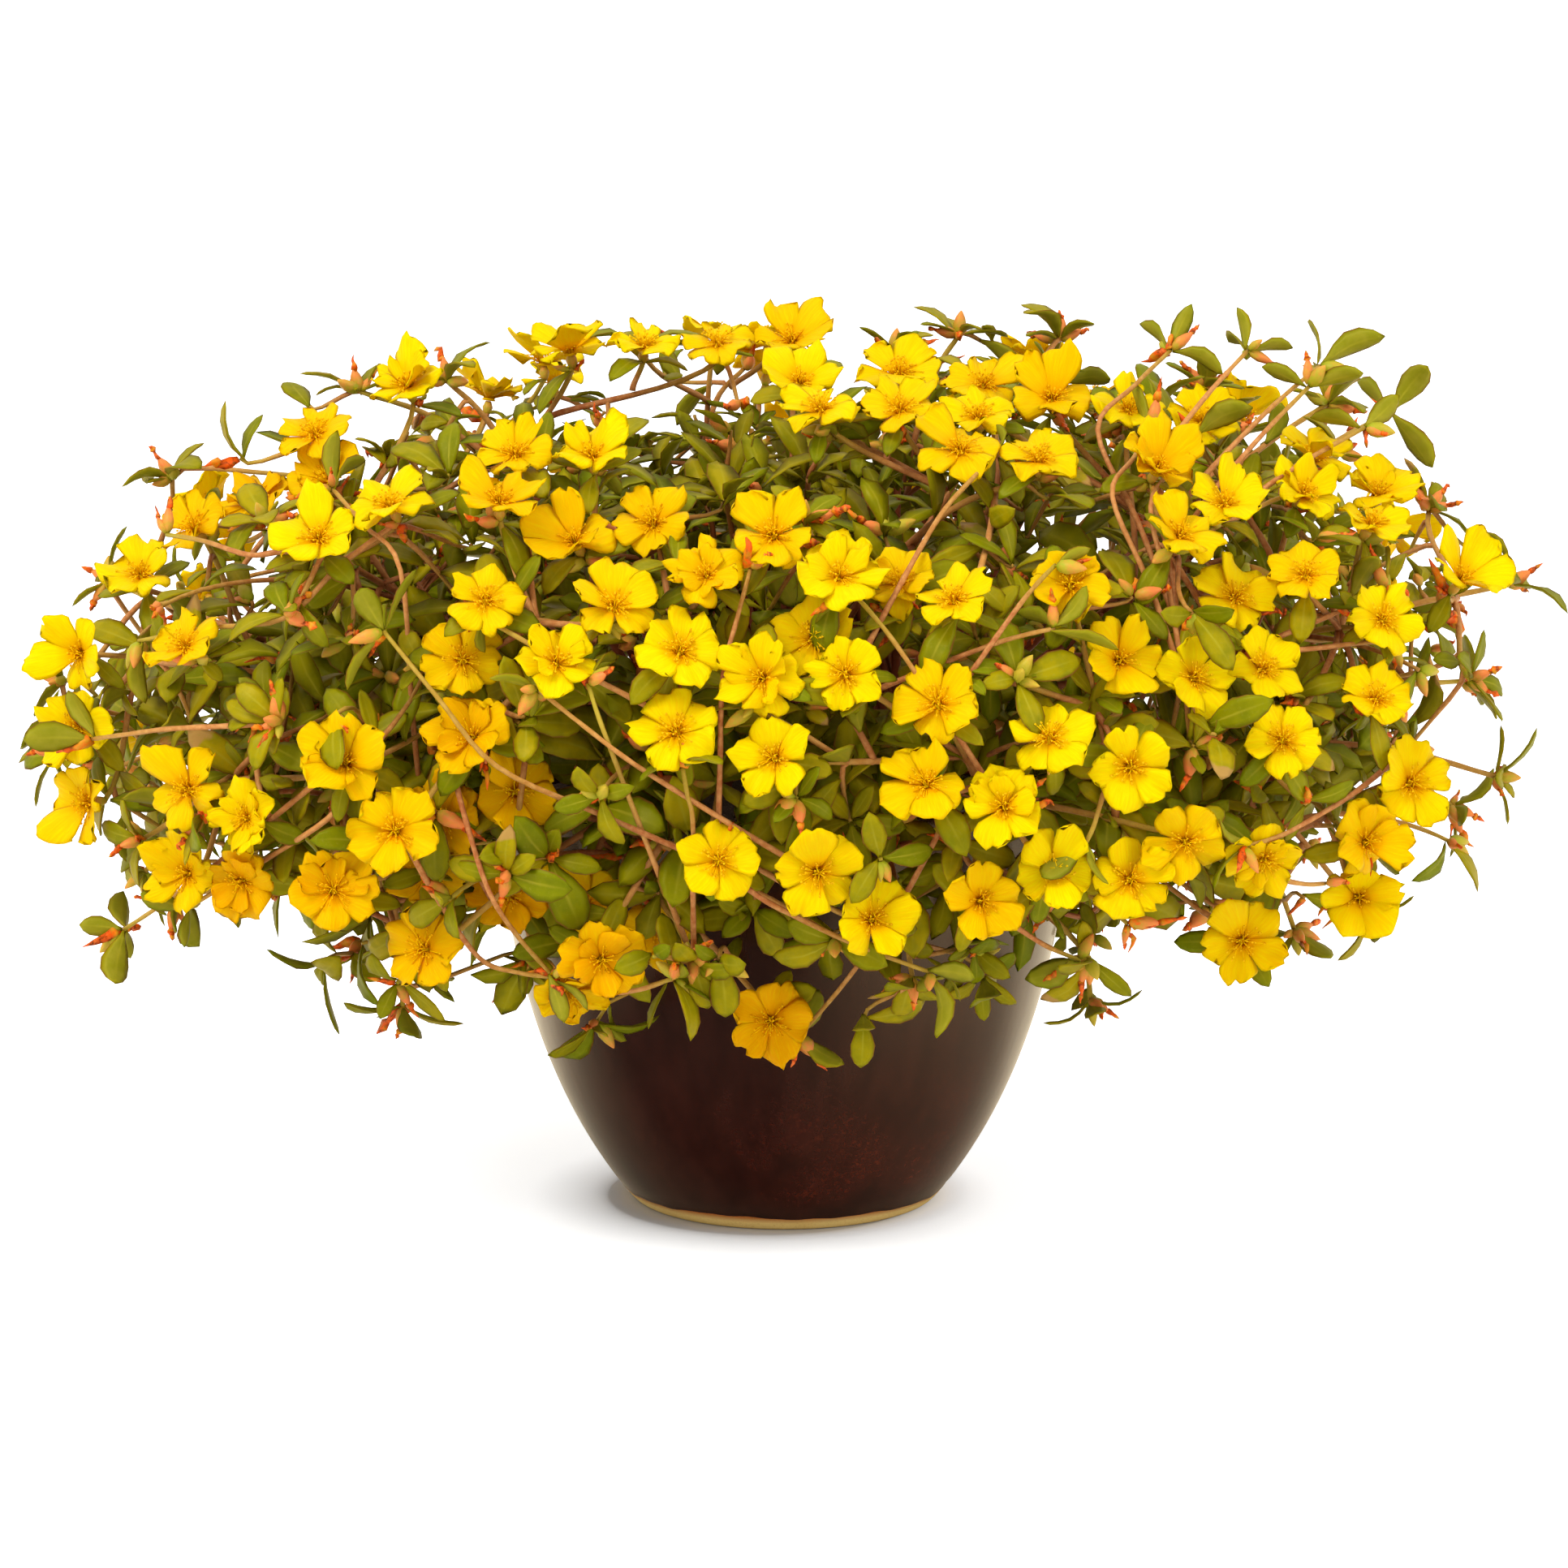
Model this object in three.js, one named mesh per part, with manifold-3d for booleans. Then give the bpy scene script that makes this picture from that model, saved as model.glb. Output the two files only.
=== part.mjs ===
// A portulaca in its pot: a glazed clay bowl filled with soil, five branching plants that arch over
// its rim, and clusters (posies) of open yellow blooms all over the mound that they make.
// Millimetres, +Z up, the origin at the middle of the pot's flat underside, the best side towards -Y.
import * as THREE from 'three';
import { mergeVertices } from 'three/addons/utils/BufferGeometryUtils.js';
import Module from 'manifold-3d';

const wasm = await Module();
wasm.setup();

const TURN = 2 * Math.PI;
const DEGREE = TURN / 360;

// --- Driving dimensions -------------------------------------------------------------------------

const POT = {
  height: 172, rimRadius: 116, footRadius: 60, wall: 6, floor: 8, lip: 4, sides: 28,
  glazeRadius: 65, glazeHeight: 5.5,
};
const SOIL = { level: 156, crown: 1.5, unevenness: 1, gap: 0.4, sides: 28 };
const MOUND = { halfWidth: 285, halfDepth: 225, middle: 205, rise: 135, drop: 125, power: 2.4 };
const BEST_VIEW = new THREE.Vector3(0, -1950, 522);   // the spot that the best side is turned to

const BLOOM = {
  petals: 5, petalLength: 16.4, notchLength: 15, valleyLength: 11, petalHalfAngle: 24 * DEGREE,
  topHeight: 0.4, baseDepth: 2.2, spacing: 28.5, seamHalfWidth: 5.2, seamThickness: 0.9,
  towards: 0.75, upward: 0.45, wander: 1.3,
  leastApart: 34, otherTurns: [0, 20, -20, 40, -40, 60, -60, 80, -80, 100, -100, 130, -130, 160],
};
const PLANTS = {
  count: 5, firstTurn: -90 * DEGREE, reach: 45, stemRadius: 5.5, root: 16, knob: 11, inside: 7,
  sides: 8,
};
const STEM = {
  thick: 2.3, thin: 1.2, joint: 1, rimClearance: 7, soilClearance: 5, gap: 0.7, joinReach: 85,
  lifts: [0, 12, 24, 36, 48, 60, 72, -12, 90, -24],
};
const LEAF = {
  length: 20, halfWidth: 5, widestAt: 0.58, bottom: 1.3, hub: 3.2, slimHub: 1.6, depth: 3,
  underBloom: 3, onShoot: 4, bareShare: 0.62, shorter: [1, 0.85, 0.7, 0.55, 0.4, 0.28],
};
const BUD = { halfWidth: 2.4, widestAt: 4, length: 10 };
const SHARE_GAP = 0.4;          // clear space on each side of the plane between two plants
const POSY_GAP = 0.25;          // least space between two posies, or a posy and a stem
const LEAST_GAP = 0.1;          // least space between two stems, or a leaf's joins and a posy
const SET_BACK = { step: 14, most: 112 };   // how a posy that meets another moves into the mound
const SIMPLEST = 0.05;          // detail finer than this is dropped from a plant's joins
const SEED = 41;

// Posies of the best side: where each starts (x and z in the upright plane through the pot's axis,
// carried to the mound along the line from BEST_VIEW) and the direction to each next touching
// bloom, in degrees anticlockwise from the right. Outer posies come before those behind them.
const FRONT_POSIES = [
  [-182, 302], [-146, 321], [-153, 274, 204], [-111, 275, 90, -27], [-251, 247, 4, -25, -25],
  [-234, 219], [-275, 217, 270, 262], [-117, 237], [-126, 214, -80], [-234, 162, -7, 243, 205],
  [-178, 122], [-153, 146, 125], [-146, 99], [-86, 82, 74], [-26, 134], [13, 130, -51], [-5, 70],
  [-3, 175, 98, -17], [-42, 185], [-41, 217, 144, 227], [-81, 260, 18], [-30, 247, 39, -45],
  [-83, 335, -45, -20, 15], [6, 322, -85, 5, -15, 220, -6], [67, 237], [72, 321, 123],
  [104, 316, 3, 28], [145, 289, -49, 193], [202, 279, 5, 95, 165], [264, 245], [234, 230],
  [204, 247], [176, 238, -78, 190, 172], [112, 243], [232, 198], [196, 182],
  [61, 196, 262, -17, 57], [136, 172], [246, 165, 215, -62], [164, 143, -24], [77, 118, 24, -16],
  [181, 102], [-50, 108, 125, 185, 164, 53, 27], [12, 222], [46, 244],
];
// Posies of the far side: compass turn and height of the first bloom, then the same directions.
const BACK_POSIES = [
  [28, 215, 60, 150], [58, 165, 20, 110], [50, 300, 30, 120], [92, 225, 10, 100],
  [118, 175, 170, 80], [128, 300, 160, 60], [150, 220, 130, 40], [92, 312, 80, 100, 60],
];
// Leafy shoot tips with buds on the best side, placed like the posies.
const FRONT_SHOOTS = [
  [51, 84], [36, 62], [-36, 92], [-24, 52], [-152, 72], [122, 92], [-256, 142], [272, 208],
  [107, 343], [43, 338], [212, 318], [-203, 271], [-288, 178], [286, 246], [68, 345], [-110, 128],
  [222, 262], [8, 272], [92, 208], [20, 100], [-200, 190], [150, 212],
];
// More shoots stand at even places all over the mound, where nothing else is within these distances.
const SHOOTS = { tries: 80, nearBest: 17, inFront: 48, elsewhere: 33, frontDepth: -60, inset: 2 };

// --- Small helpers ------------------------------------------------------------------------------

// A repeatable draw between 0 and 1 from whole numbers.
function draw(...keys) {
  let bits = SEED;
  for (const key of keys) {
    bits = Math.imul(bits ^ (key + 0x9e3779b9), 0x85ebca6b);
    bits ^= bits >>> 13;
    bits = Math.imul(bits, 0xc2b2ae35);
    bits ^= bits >>> 16;
  }
  return (bits >>> 0) / 2 ** 32;
}

function mix(from, to, share) {
  return from + (to - from) * share;
}

// A turn brought to within half a turn either way.
function shortWay(turn) {
  return Math.atan2(Math.sin(turn), Math.cos(turn));
}

function vector(x, y, z) {
  return new THREE.Vector3(x, y, z);
}

// The point at `turn` and `reach` round an axis, `height` along it.
function around(frame, turn, reach, height) {
  return frame.centre.clone()
    .addScaledVector(frame.right, reach * Math.cos(turn))
    .addScaledVector(frame.forward, reach * Math.sin(turn))
    .addScaledVector(frame.axis, height);
}

function frameAt(centre, axis) {
  const guide = Math.abs(axis.x) < 0.9 ? vector(1, 0, 0) : vector(0, 0, 1);
  const right = guide.addScaledVector(axis, -guide.dot(axis)).normalize();
  return { centre, axis, right, forward: axis.clone().cross(right) };
}

function solidFrom(points, triangles) {
  const vertProperties = new Float32Array(points.flatMap((point) => point.toArray()));
  const triVerts = new Uint32Array(triangles.flat());
  return new wasm.Manifold(new wasm.Mesh({ numProp: 3, vertProperties, triVerts }));
}

function solidOf(geometry) {
  const bare = geometry.clone();
  bare.deleteAttribute('normal');
  bare.deleteAttribute('uv');
  const merged = mergeVertices(bare, 1e-4);
  const corners = merged.index.array;
  const triangles = [];
  for (let i = 0; i < corners.length; i += 3) {
    const [a, b, c] = corners.slice(i, i + 3);
    if (a !== b && b !== c && c !== a) triangles.push([a, b, c]);
  }
  const points = [];
  for (let i = 0; i < merged.attributes.position.count; i++) {
    points.push(vector().fromBufferAttribute(merged.attributes.position, i));
  }
  return solidFrom(points, triangles);
}

// A thin closed body over a star-shaped outline, highest in the middle of each face.
function blade(outline, top, bottom) {
  const count = outline.length;
  const triangles = outline.flatMap((_, i) => {
    const next = (i + 1) % count;
    return [[count, i, next], [count + 1, next, i]];
  });
  return solidFrom([...outline, top, bottom], triangles);
}

// A tapered closed tube along a spine of points.
function tube(spine, radii, sides) {
  const points = [];
  let side = null;
  spine.forEach((at, i) => {
    const ahead = spine[Math.min(i + 1, spine.length - 1)];
    const behind = spine[Math.max(i - 1, 0)];
    const along = ahead.clone().sub(behind).normalize();
    const guide = side ?? frameAt(at, along).right;
    side = guide.clone().addScaledVector(along, -guide.dot(along)).normalize();
    const across = along.clone().cross(side);
    for (let k = 0; k < sides; k++) {
      const turn = (k / sides) * TURN;
      points.push(at.clone()
        .addScaledVector(side, radii[i] * Math.cos(turn))
        .addScaledVector(across, radii[i] * Math.sin(turn)));
    }
  });
  const triangles = [];
  for (let i = 0; i + 1 < spine.length; i++) {
    for (let k = 0; k < sides; k++) {
      const a = i * sides + k;
      const b = i * sides + ((k + 1) % sides);
      triangles.push([a, b, b + sides], [a, b + sides, a + sides]);
    }
  }
  const last = (spine.length - 1) * sides;
  for (let k = 1; k + 1 < sides; k++) {
    triangles.push([0, k + 1, k], [last, last + k, last + k + 1]);
  }
  return solidFrom(points, triangles);
}

function hurdle(solid) {
  return { solid, box: solid.boundingBox() };
}

function isClear(solid, hurdles, gap) {
  const { min, max } = solid.boundingBox();
  return hurdles.every(({ solid: other, box }) => {
    const apart = [0, 1, 2].some((i) => min[i] > box.max[i] + gap || max[i] < box.min[i] - gap);
    return apart || solid.minGap(other, gap) >= gap;
  });
}

// --- The mound ----------------------------------------------------------------------------------

function moundAxes(point, inset) {
  const tall = point.z > MOUND.middle ? MOUND.rise : MOUND.drop;
  return [MOUND.halfWidth - inset, MOUND.halfDepth - inset, tall - inset];
}

// Below 1 inside the mound, above 1 outside it.
function moundLevel(point, inset) {
  const [wide, deep, tall] = moundAxes(point, inset);
  return Math.abs(point.x / wide) ** MOUND.power + Math.abs(point.y / deep) ** MOUND.power
    + Math.abs((point.z - MOUND.middle) / tall) ** MOUND.power;
}

function moundSlope(point, inset) {
  const [wide, deep, tall] = moundAxes(point, inset);
  const slope = (value, size) => Math.sign(value) * Math.abs(value / size) ** (MOUND.power - 1)
    * MOUND.power / size;
  return vector(slope(point.x, wide), slope(point.y, deep), slope(point.z - MOUND.middle, tall));
}

function toMound(point, inset) {
  for (let step = 0; step < 6; step++) {
    const slope = moundSlope(point, inset);
    point.addScaledVector(slope, (1 - moundLevel(point, inset)) / slope.lengthSq());
  }
  return point;
}

// Where the line from BEST_VIEW through (x, 0, z) first meets the mound, or passes nearest to it.
function moundAlongView(x, z, inset) {
  const step = vector(x, 0, z).sub(BEST_VIEW).multiplyScalar(1 / 2000);
  let best = null;
  for (let i = 1690; i < 2200; i++) {
    const point = BEST_VIEW.clone().addScaledVector(step, i);
    const level = moundLevel(point, inset);
    if (best === null || level < best.level) best = { point, level };
    if (level < 1) break;
  }
  return best.point;
}

function moundAt(turn, height, inset) {
  const point = vector(Math.cos(turn) * 200, Math.sin(turn) * 200, height);
  for (let step = 0; step < 30; step++) {
    const share = (1 / moundLevel(point, inset)) ** 0.5;
    point.x *= share;
    point.y *= share;
  }
  return point;
}

// --- The five plants' shares of the mound -------------------------------------------------------

const SHARE = TURN / PLANTS.count;

function plantTurn(plant) {
  return PLANTS.firstTurn + plant * SHARE;
}

function plantOf(point) {
  const turn = Math.atan2(point.y, point.x) - PLANTS.firstTurn + SHARE / 2 + TURN;
  return Math.floor(turn / SHARE) % PLANTS.count;
}

// How far a point lies inside its plant's share, from the nearer of the two planes.
function insideShare(point, plant) {
  const off = Math.abs(shortWay(Math.atan2(point.y, point.x) - plantTurn(plant)));
  return Math.hypot(point.x, point.y) * Math.sin(SHARE / 2 - off);
}

// Turns a point about the pot's axis until it lies at least `gap` inside its plant's share.
function keepInShare(point, plant, gap) {
  const reach = Math.hypot(point.x, point.y);
  const most = SHARE / 2 - Math.asin(Math.min(1, gap / reach));
  const off = shortWay(Math.atan2(point.y, point.x) - plantTurn(plant));
  const kept = plantTurn(plant) + Math.max(-most, Math.min(most, off));
  return vector(reach * Math.cos(kept), reach * Math.sin(kept), point.z);
}

// --- Pot and soil -------------------------------------------------------------------------------

// A point of the bowl's outer curve, from the lower edge of the glaze to the lip: x is the radius
// and y the height.
function bowlPoint(share) {
  const start = vector(POT.glazeRadius, POT.glazeHeight, 0);
  const end = vector(POT.rimRadius, POT.height - POT.lip, 0);
  const spread = vector(34.6, 45, 0).add(start);
  const steady = vector(-5.4, -60, 0).add(end);
  return new THREE.CubicBezierCurve3(start, spread, steady, end).getPoint(share);
}

function wallRadius(height) {
  let [low, high] = [0, 1];
  for (let step = 0; step < 30; step++) {
    const middle = (low + high) / 2;
    if (bowlPoint(middle).y < height) low = middle;
    else high = middle;
  }
  return bowlPoint(low).x;
}

const INSIDE_LEVELS = [POT.floor, 50, SOIL.level - SOIL.crown, POT.height - POT.lip];

function lathe(profile, sides) {
  const points = profile.map(([radius, height]) => new THREE.Vector2(radius, height));
  return new THREE.LatheGeometry(points, sides).rotateX(Math.PI / 2);
}

function potSolid() {
  const outside = [0, 0.1, 0.24, 0.4, 0.58, 0.78, 1].map((share) => {
    const point = bowlPoint(share);
    return [point.x, point.y];
  });
  const lip = [[POT.rimRadius - 1.5, POT.height], [POT.rimRadius - POT.wall + 1.2, POT.height]];
  const inside = INSIDE_LEVELS.map((height) => [wallRadius(height) - POT.wall, height]).reverse();
  const foot = [[0, 0], [POT.footRadius, 0], [POT.footRadius + 2, 2]];
  return solidOf(lathe([...foot, ...outside, ...lip, ...inside, [0, POT.floor]], POT.sides));
}

function soilSolid() {
  const walls = INSIDE_LEVELS.slice(0, 3).map((height, i) => {
    return [wallRadius(height) - POT.wall - SOIL.gap, i === 0 ? height + SOIL.gap : height];
  });
  const top = [[85, SOIL.level], [35, SOIL.level + SOIL.crown]];
  const geometry = lathe([[0, POT.floor + SOIL.gap], ...walls, ...top, [0, SOIL.level]], SOIL.sides);
  const places = geometry.attributes.position;
  for (let i = 0; i < places.count; i++) {
    const reach = Math.hypot(places.getX(i), places.getY(i));
    if (reach > 5 && reach < 90 && places.getZ(i) > SOIL.level - 1) {
      const row = Math.round(reach);
      const angle = Math.atan2(places.getY(i), places.getX(i)) / TURN + 1;
      const spoke = Math.round(angle * SOIL.sides) % SOIL.sides;
      places.setZ(i, places.getZ(i) + mix(-1, 1, draw(row, spoke)) * SOIL.unevenness);
    }
  }
  let soil = solidOf(geometry);
  const depth = PLANTS.root + SOIL.gap;
  const radius = PLANTS.stemRadius + SOIL.gap;
  for (let plant = 0; plant < PLANTS.count; plant++) {
    const foot = crownFoot(plant);
    const hole = new THREE.CylinderGeometry(radius, radius, depth * 2, PLANTS.sides)
      .rotateX(Math.PI / 2).translate(foot.x, foot.y, foot.z);
    soil = soil.subtract(solidOf(hole));
  }
  return soil;
}

// --- Blooms and posies --------------------------------------------------------------------------

function viewDirections(x, z) {
  const away = vector(x, 0, z).sub(BEST_VIEW).normalize();
  const right = vector(1, 0, 0).addScaledVector(away, -away.x).normalize();
  return { right, up: right.clone().cross(away) };
}

// The next bloom's place on the mound, one spacing from `from` in a direction seen from the front
// (or from the back, for the far side).
function nextPlace(from, turn, facing, inset) {
  const slope = moundSlope(from, inset).normalize();
  const heading = facing.right.clone().multiplyScalar(Math.cos(turn))
    .addScaledVector(facing.up, Math.sin(turn));
  heading.addScaledVector(slope, -heading.dot(slope)).normalize();
  return toMound(from.clone().addScaledVector(heading, BLOOM.spacing), inset);
}

function bloomAxis(place, posy, index, inset, far) {
  const outward = moundSlope(place, inset).normalize();
  const wander = vector(draw(posy, index, 1), draw(posy, index, 2), draw(posy, index, 3))
    .addScalar(-0.5).multiplyScalar(BLOOM.wander);
  const towards = far ? vector(0, 0, 0) : BEST_VIEW.clone().sub(place).normalize();
  const light = vector(0, 0, BLOOM.upward);
  return outward.add(towards.multiplyScalar(BLOOM.towards)).add(light).add(wander).normalize();
}

function posyBlooms(posy, inset) {
  const far = posy >= FRONT_POSIES.length;
  const [first, height, ...turns] = far ? BACK_POSIES[posy - FRONT_POSIES.length]
    : FRONT_POSIES[posy];
  const facing = far ? { right: vector(-1, 0, 0), up: vector(0, 0, 1) }
    : viewDirections(first, height);
  const places = [far ? moundAt(first * DEGREE, height, inset)
    : moundAlongView(first, height, inset)];
  for (const turn of turns) {
    const tries = BLOOM.otherTurns.map((off) => {
      return nextPlace(places[places.length - 1], (turn + off) * DEGREE, facing, inset);
    });
    const before = places.slice(0, -1);
    const free = (place) => before.every((other) => other.distanceTo(place) > BLOOM.leastApart);
    places.push(tries.find(free) ?? tries[0]);
  }
  const kept = places.map((place) => keepInShare(place, plantOf(place), PLANTS.inside));
  const axes = kept.map((place, i) => bloomAxis(place, posy, i, inset, far));
  const mean = axes.reduce((sum, axis) => sum.add(axis), vector(0, 0, 0)).normalize();
  return kept.map((place, i) => ({
    ...frameAt(place, axes[i].clone().multiplyScalar(0.55).addScaledVector(mean, 0.45).normalize()),
    size: mix(0.92, 1.08, draw(posy, i, 4)),
    cup: mix(0.15, 0.42, draw(posy, i, 5)),
    plant: plantOf(place),
    keys: [posy, i],
  }));
}

// The short edge in which the petals of two neighbouring blooms meet, seen from one of them.
function meeting(bloom, other) {
  const up = bloom.axis.clone().add(other.axis).normalize();
  const middle = bloom.centre.clone().add(other.centre).multiplyScalar(0.5).addScaledVector(up, 3);
  const aside = up.clone().cross(other.centre.clone().sub(bloom.centre)).normalize()
    .multiplyScalar(BLOOM.seamHalfWidth);
  const point = middle.clone().sub(bloom.centre);
  const turn = Math.atan2(point.dot(bloom.forward), point.dot(bloom.right));
  return { turn, ends: [middle.clone().sub(aside), middle.clone().add(aside)], up };
}

// The turn and reach of each petal: evenly spread, but one leans to each neighbour.
function petalsOf(bloom, meetings) {
  const step = TURN / BLOOM.petals;
  let spin = draw(...bloom.keys, 6) * TURN;
  if (meetings.length > 0) {
    const x = meetings.reduce((sum, { turn }) => sum + Math.cos(turn * BLOOM.petals), 0);
    const y = meetings.reduce((sum, { turn }) => sum + Math.sin(turn * BLOOM.petals), 0);
    spin = Math.atan2(y, x) / BLOOM.petals;
  }
  const petals = [];
  for (let k = 0; k < BLOOM.petals; k++) petals.push({ turn: spin + k * step, seam: null });
  for (const seam of meetings) {
    const offs = petals.map((petal) => (petal.seam ? Infinity
      : Math.abs(shortWay(seam.turn - petal.turn))));
    const petal = petals[offs.indexOf(Math.min(...offs))];
    petal.turn += shortWay(seam.turn - petal.turn);
    petal.seam = seam;
  }
  return petals;
}

// A bloom's outline: a valley, then the shoulder, notch and shoulder of each petal in turn. Each
// place holds its upper and lower point, which differ only where the petal meets a neighbour's.
function bloomOutline(bloom, petals) {
  const outline = [];
  petals.forEach((petal, k) => {
    const before = petals[(k + petals.length - 1) % petals.length];
    const after = petals[(k + 1) % petals.length];
    const spaceBefore = (petal.turn - before.turn + TURN) % TURN;
    const spaceAfter = (after.turn - petal.turn + TURN) % TURN;
    const valley = BLOOM.valleyLength * bloom.size;
    const middle = around(bloom, petal.turn - spaceBefore / 2, valley, valley * bloom.cup - 0.5);
    outline.push([middle, middle]);
    if (petal.seam) {
      const thick = petal.seam.up.clone().multiplyScalar(BLOOM.seamThickness / 2);
      for (const end of petal.seam.ends) {
        outline.push([end.clone().add(thick), end.clone().sub(thick)]);
      }
      return;
    }
    const left = Math.min(BLOOM.petalHalfAngle, 0.36 * spaceBefore);
    const right = Math.min(BLOOM.petalHalfAngle, 0.36 * spaceAfter);
    const reach = BLOOM.petalLength * bloom.size;
    const ruffle = mix(-0.8, 0.8, draw(...bloom.keys, 10 + k));
    const rise = reach * bloom.cup + mix(-1, 1, draw(...bloom.keys, 20 + k));
    const notch = BLOOM.notchLength * bloom.size;
    const places = [around(bloom, petal.turn - left, reach, rise + ruffle),
      around(bloom, petal.turn, notch, rise - ruffle / 2),
      around(bloom, petal.turn + right, reach, rise + ruffle / 2)];
    for (const place of places) outline.push([place, place]);
  });
  return outline;
}

// A bloom's skin, added to its posy's; it is open along each seam, where the neighbour's skin
// carries on from the same points.
function addBloom(skin, bloom, neighbours) {
  const meetings = neighbours.map((other) => meeting(bloom, other));
  const outline = bloomOutline(bloom, petalsOf(bloom, meetings));
  const top = skin.corner(around(bloom, 0, 0, BLOOM.topHeight));
  const base = skin.corner(around(bloom, 0, 0, -BLOOM.baseDepth));
  const rim = outline.map((place) => place.map((point) => skin.corner(point)));
  rim.forEach(([upper, lower], i) => {
    const [nextUpper, nextLower] = rim[(i + 1) % rim.length];
    skin.face(top, upper, nextUpper);
    skin.face(base, nextLower, lower);
    const seam = upper !== lower && nextUpper !== nextLower;
    if (!seam) {
      skin.face(lower, nextLower, nextUpper);
      skin.face(lower, nextUpper, upper);
    }
  });
}

// Collects corners, each place once, and the faces between them.
function newSkin() {
  const points = [];
  const triangles = [];
  const known = new Map();
  return {
    corner(point) {
      const key = point.toArray().map((value) => value.toFixed(5)).join();
      if (!known.has(key)) {
        known.set(key, points.length);
        points.push(point);
      }
      return known.get(key);
    },
    face(a, b, c) {
      if (a !== b && b !== c && c !== a) triangles.push([a, b, c]);
    },
    solid() {
      return solidFrom(points, triangles);
    },
  };
}

function posySolid(blooms) {
  const skin = newSkin();
  blooms.forEach((bloom, i) => {
    addBloom(skin, bloom, [blooms[i - 1], blooms[i + 1]].filter(Boolean));
  });
  return skin.solid();
}

// Every posy, each moved into the mound until it is clear of those placed before it.
function growPosies(holder) {
  const posies = [];
  const hurdles = [...holder];
  for (let posy = 0; posy < FRONT_POSIES.length + BACK_POSIES.length; posy++) {
    let inset = 0;
    let blooms = posyBlooms(posy, inset);
    let solid = posySolid(blooms);
    while (!isClear(solid, hurdles, POSY_GAP) && inset < SET_BACK.most) {
      inset += SET_BACK.step;
      blooms = posyBlooms(posy, inset);
      solid = posySolid(blooms);
    }
    hurdles.push(hurdle(solid));
    posies.push({ blooms, solid });
  }
  return posies;
}

// --- Plants -------------------------------------------------------------------------------------

function crownFoot(plant) {
  const turn = plantTurn(plant);
  return vector(PLANTS.reach * Math.cos(turn), PLANTS.reach * Math.sin(turn), SOIL.level);
}

function crownSolid(plant) {
  const stub = [[0, -PLANTS.root], [PLANTS.stemRadius, -PLANTS.root], [PLANTS.stemRadius, 4]];
  const knob = [[8, 8], [6.5, 14], [0, 16]];
  const foot = crownFoot(plant);
  return solidOf(lathe([...stub, ...knob], PLANTS.sides).translate(foot.x, foot.y, foot.z));
}

// A long stem's spine from the crown, up over the rim and out to `goal`, raised by `lift`.
function limbSpine(plant, goal, lift) {
  const start = { reach: PLANTS.reach, turn: plantTurn(plant), height: SOIL.level + PLANTS.knob };
  const end = { reach: Math.hypot(goal.x, goal.y), height: goal.z };
  const swing = shortWay(Math.atan2(goal.y, goal.x) - start.turn);
  const over = Math.max(0, POT.height + 20 - end.height);
  const curve = new THREE.CubicBezierCurve3(
    vector(start.reach, 0, start.height),
    vector(mix(start.reach, end.reach, 0.35), 0,
      Math.max(start.height + 15, (start.height + end.height) / 2) + lift),
    vector(mix(start.reach, end.reach, 0.85), 0, end.height + over * 0.6 + lift),
    vector(end.reach, 0, end.height),
  );
  return [0, 0.25, 0.5, 0.75, 1].map((share) => {
    const point = curve.getPoint(share);
    const turn = start.turn + swing * share;
    return vector(point.x * Math.cos(turn), point.x * Math.sin(turn), point.z);
  });
}

// Whether a spine's straight runs stay clear of the pot's wall and rim, and of the soil.
function clearsPot(spine) {
  for (let i = 0; i + 1 < spine.length; i++) {
    for (let share = 0; share <= 1; share += 0.1) {
      const point = spine[i].clone().lerp(spine[i + 1], share);
      const reach = Math.hypot(point.x, point.y);
      const overWall = Math.abs(reach - POT.rimRadius + POT.wall / 2) < POT.wall + 2.5;
      if (overWall && point.z < POT.height + STEM.rimClearance) return false;
      if (reach < POT.rimRadius && point.z < SOIL.level + STEM.soilClearance) return false;
    }
  }
  return true;
}

// Even places all over the mound, along a spiral from its top to its bottom.
function evenPlaces() {
  const places = [];
  for (let i = 0; i < SHOOTS.tries; i++) {
    const height = 1 - (2 * i + 1) / SHOOTS.tries;
    const turn = i * Math.PI * (3 - Math.sqrt(5));
    const reach = Math.sqrt(1 - height * height);
    const tall = height > 0 ? MOUND.rise : MOUND.drop;
    places.push(toMound(vector(reach * Math.cos(turn) * MOUND.halfWidth,
      reach * Math.sin(turn) * MOUND.halfDepth, MOUND.middle + height * tall), SHOOTS.inset));
  }
  return places;
}

// Whether a leafy shoot has room at a place, between the stem ends already there.
function hasRoom(place, isBest, ends) {
  const elsewhere = place.y > SHOOTS.frontDepth ? SHOOTS.elsewhere : SHOOTS.inFront;
  const spacing = isBest ? SHOOTS.nearBest : elsewhere;
  const atPot = Math.hypot(place.x, place.y) < POT.rimRadius + 12 && place.z < POT.height + 20;
  return place.z > 50 && !atPot && ends.every((end) => end.centre.distanceTo(place) >= spacing);
}

// The places where stems end: under each bloom, and at each leafy shoot's tip.
function stemEnds(posies) {
  const ends = posies.flatMap(({ blooms }) => blooms.map((bloom) => ({ ...bloom, bloom: true })));
  const best = FRONT_SHOOTS.map(([x, z]) => moundAlongView(x, z, SHOOTS.inset));
  [...best, ...evenPlaces()].forEach((place, i) => {
    if (!hasRoom(place, i < best.length, ends)) return;
    const plant = plantOf(place);
    const kept = keepInShare(place, plant, PLANTS.inside);
    const droop = vector(0, 0, place.z < 130 ? -0.5 : 0.25);
    const axis = moundSlope(kept, 0).normalize().add(droop).normalize();
    ends.push({ ...frameAt(kept, axis), plant, keys: [100 + i, 0], bloom: false });
  });
  return ends;
}

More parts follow.
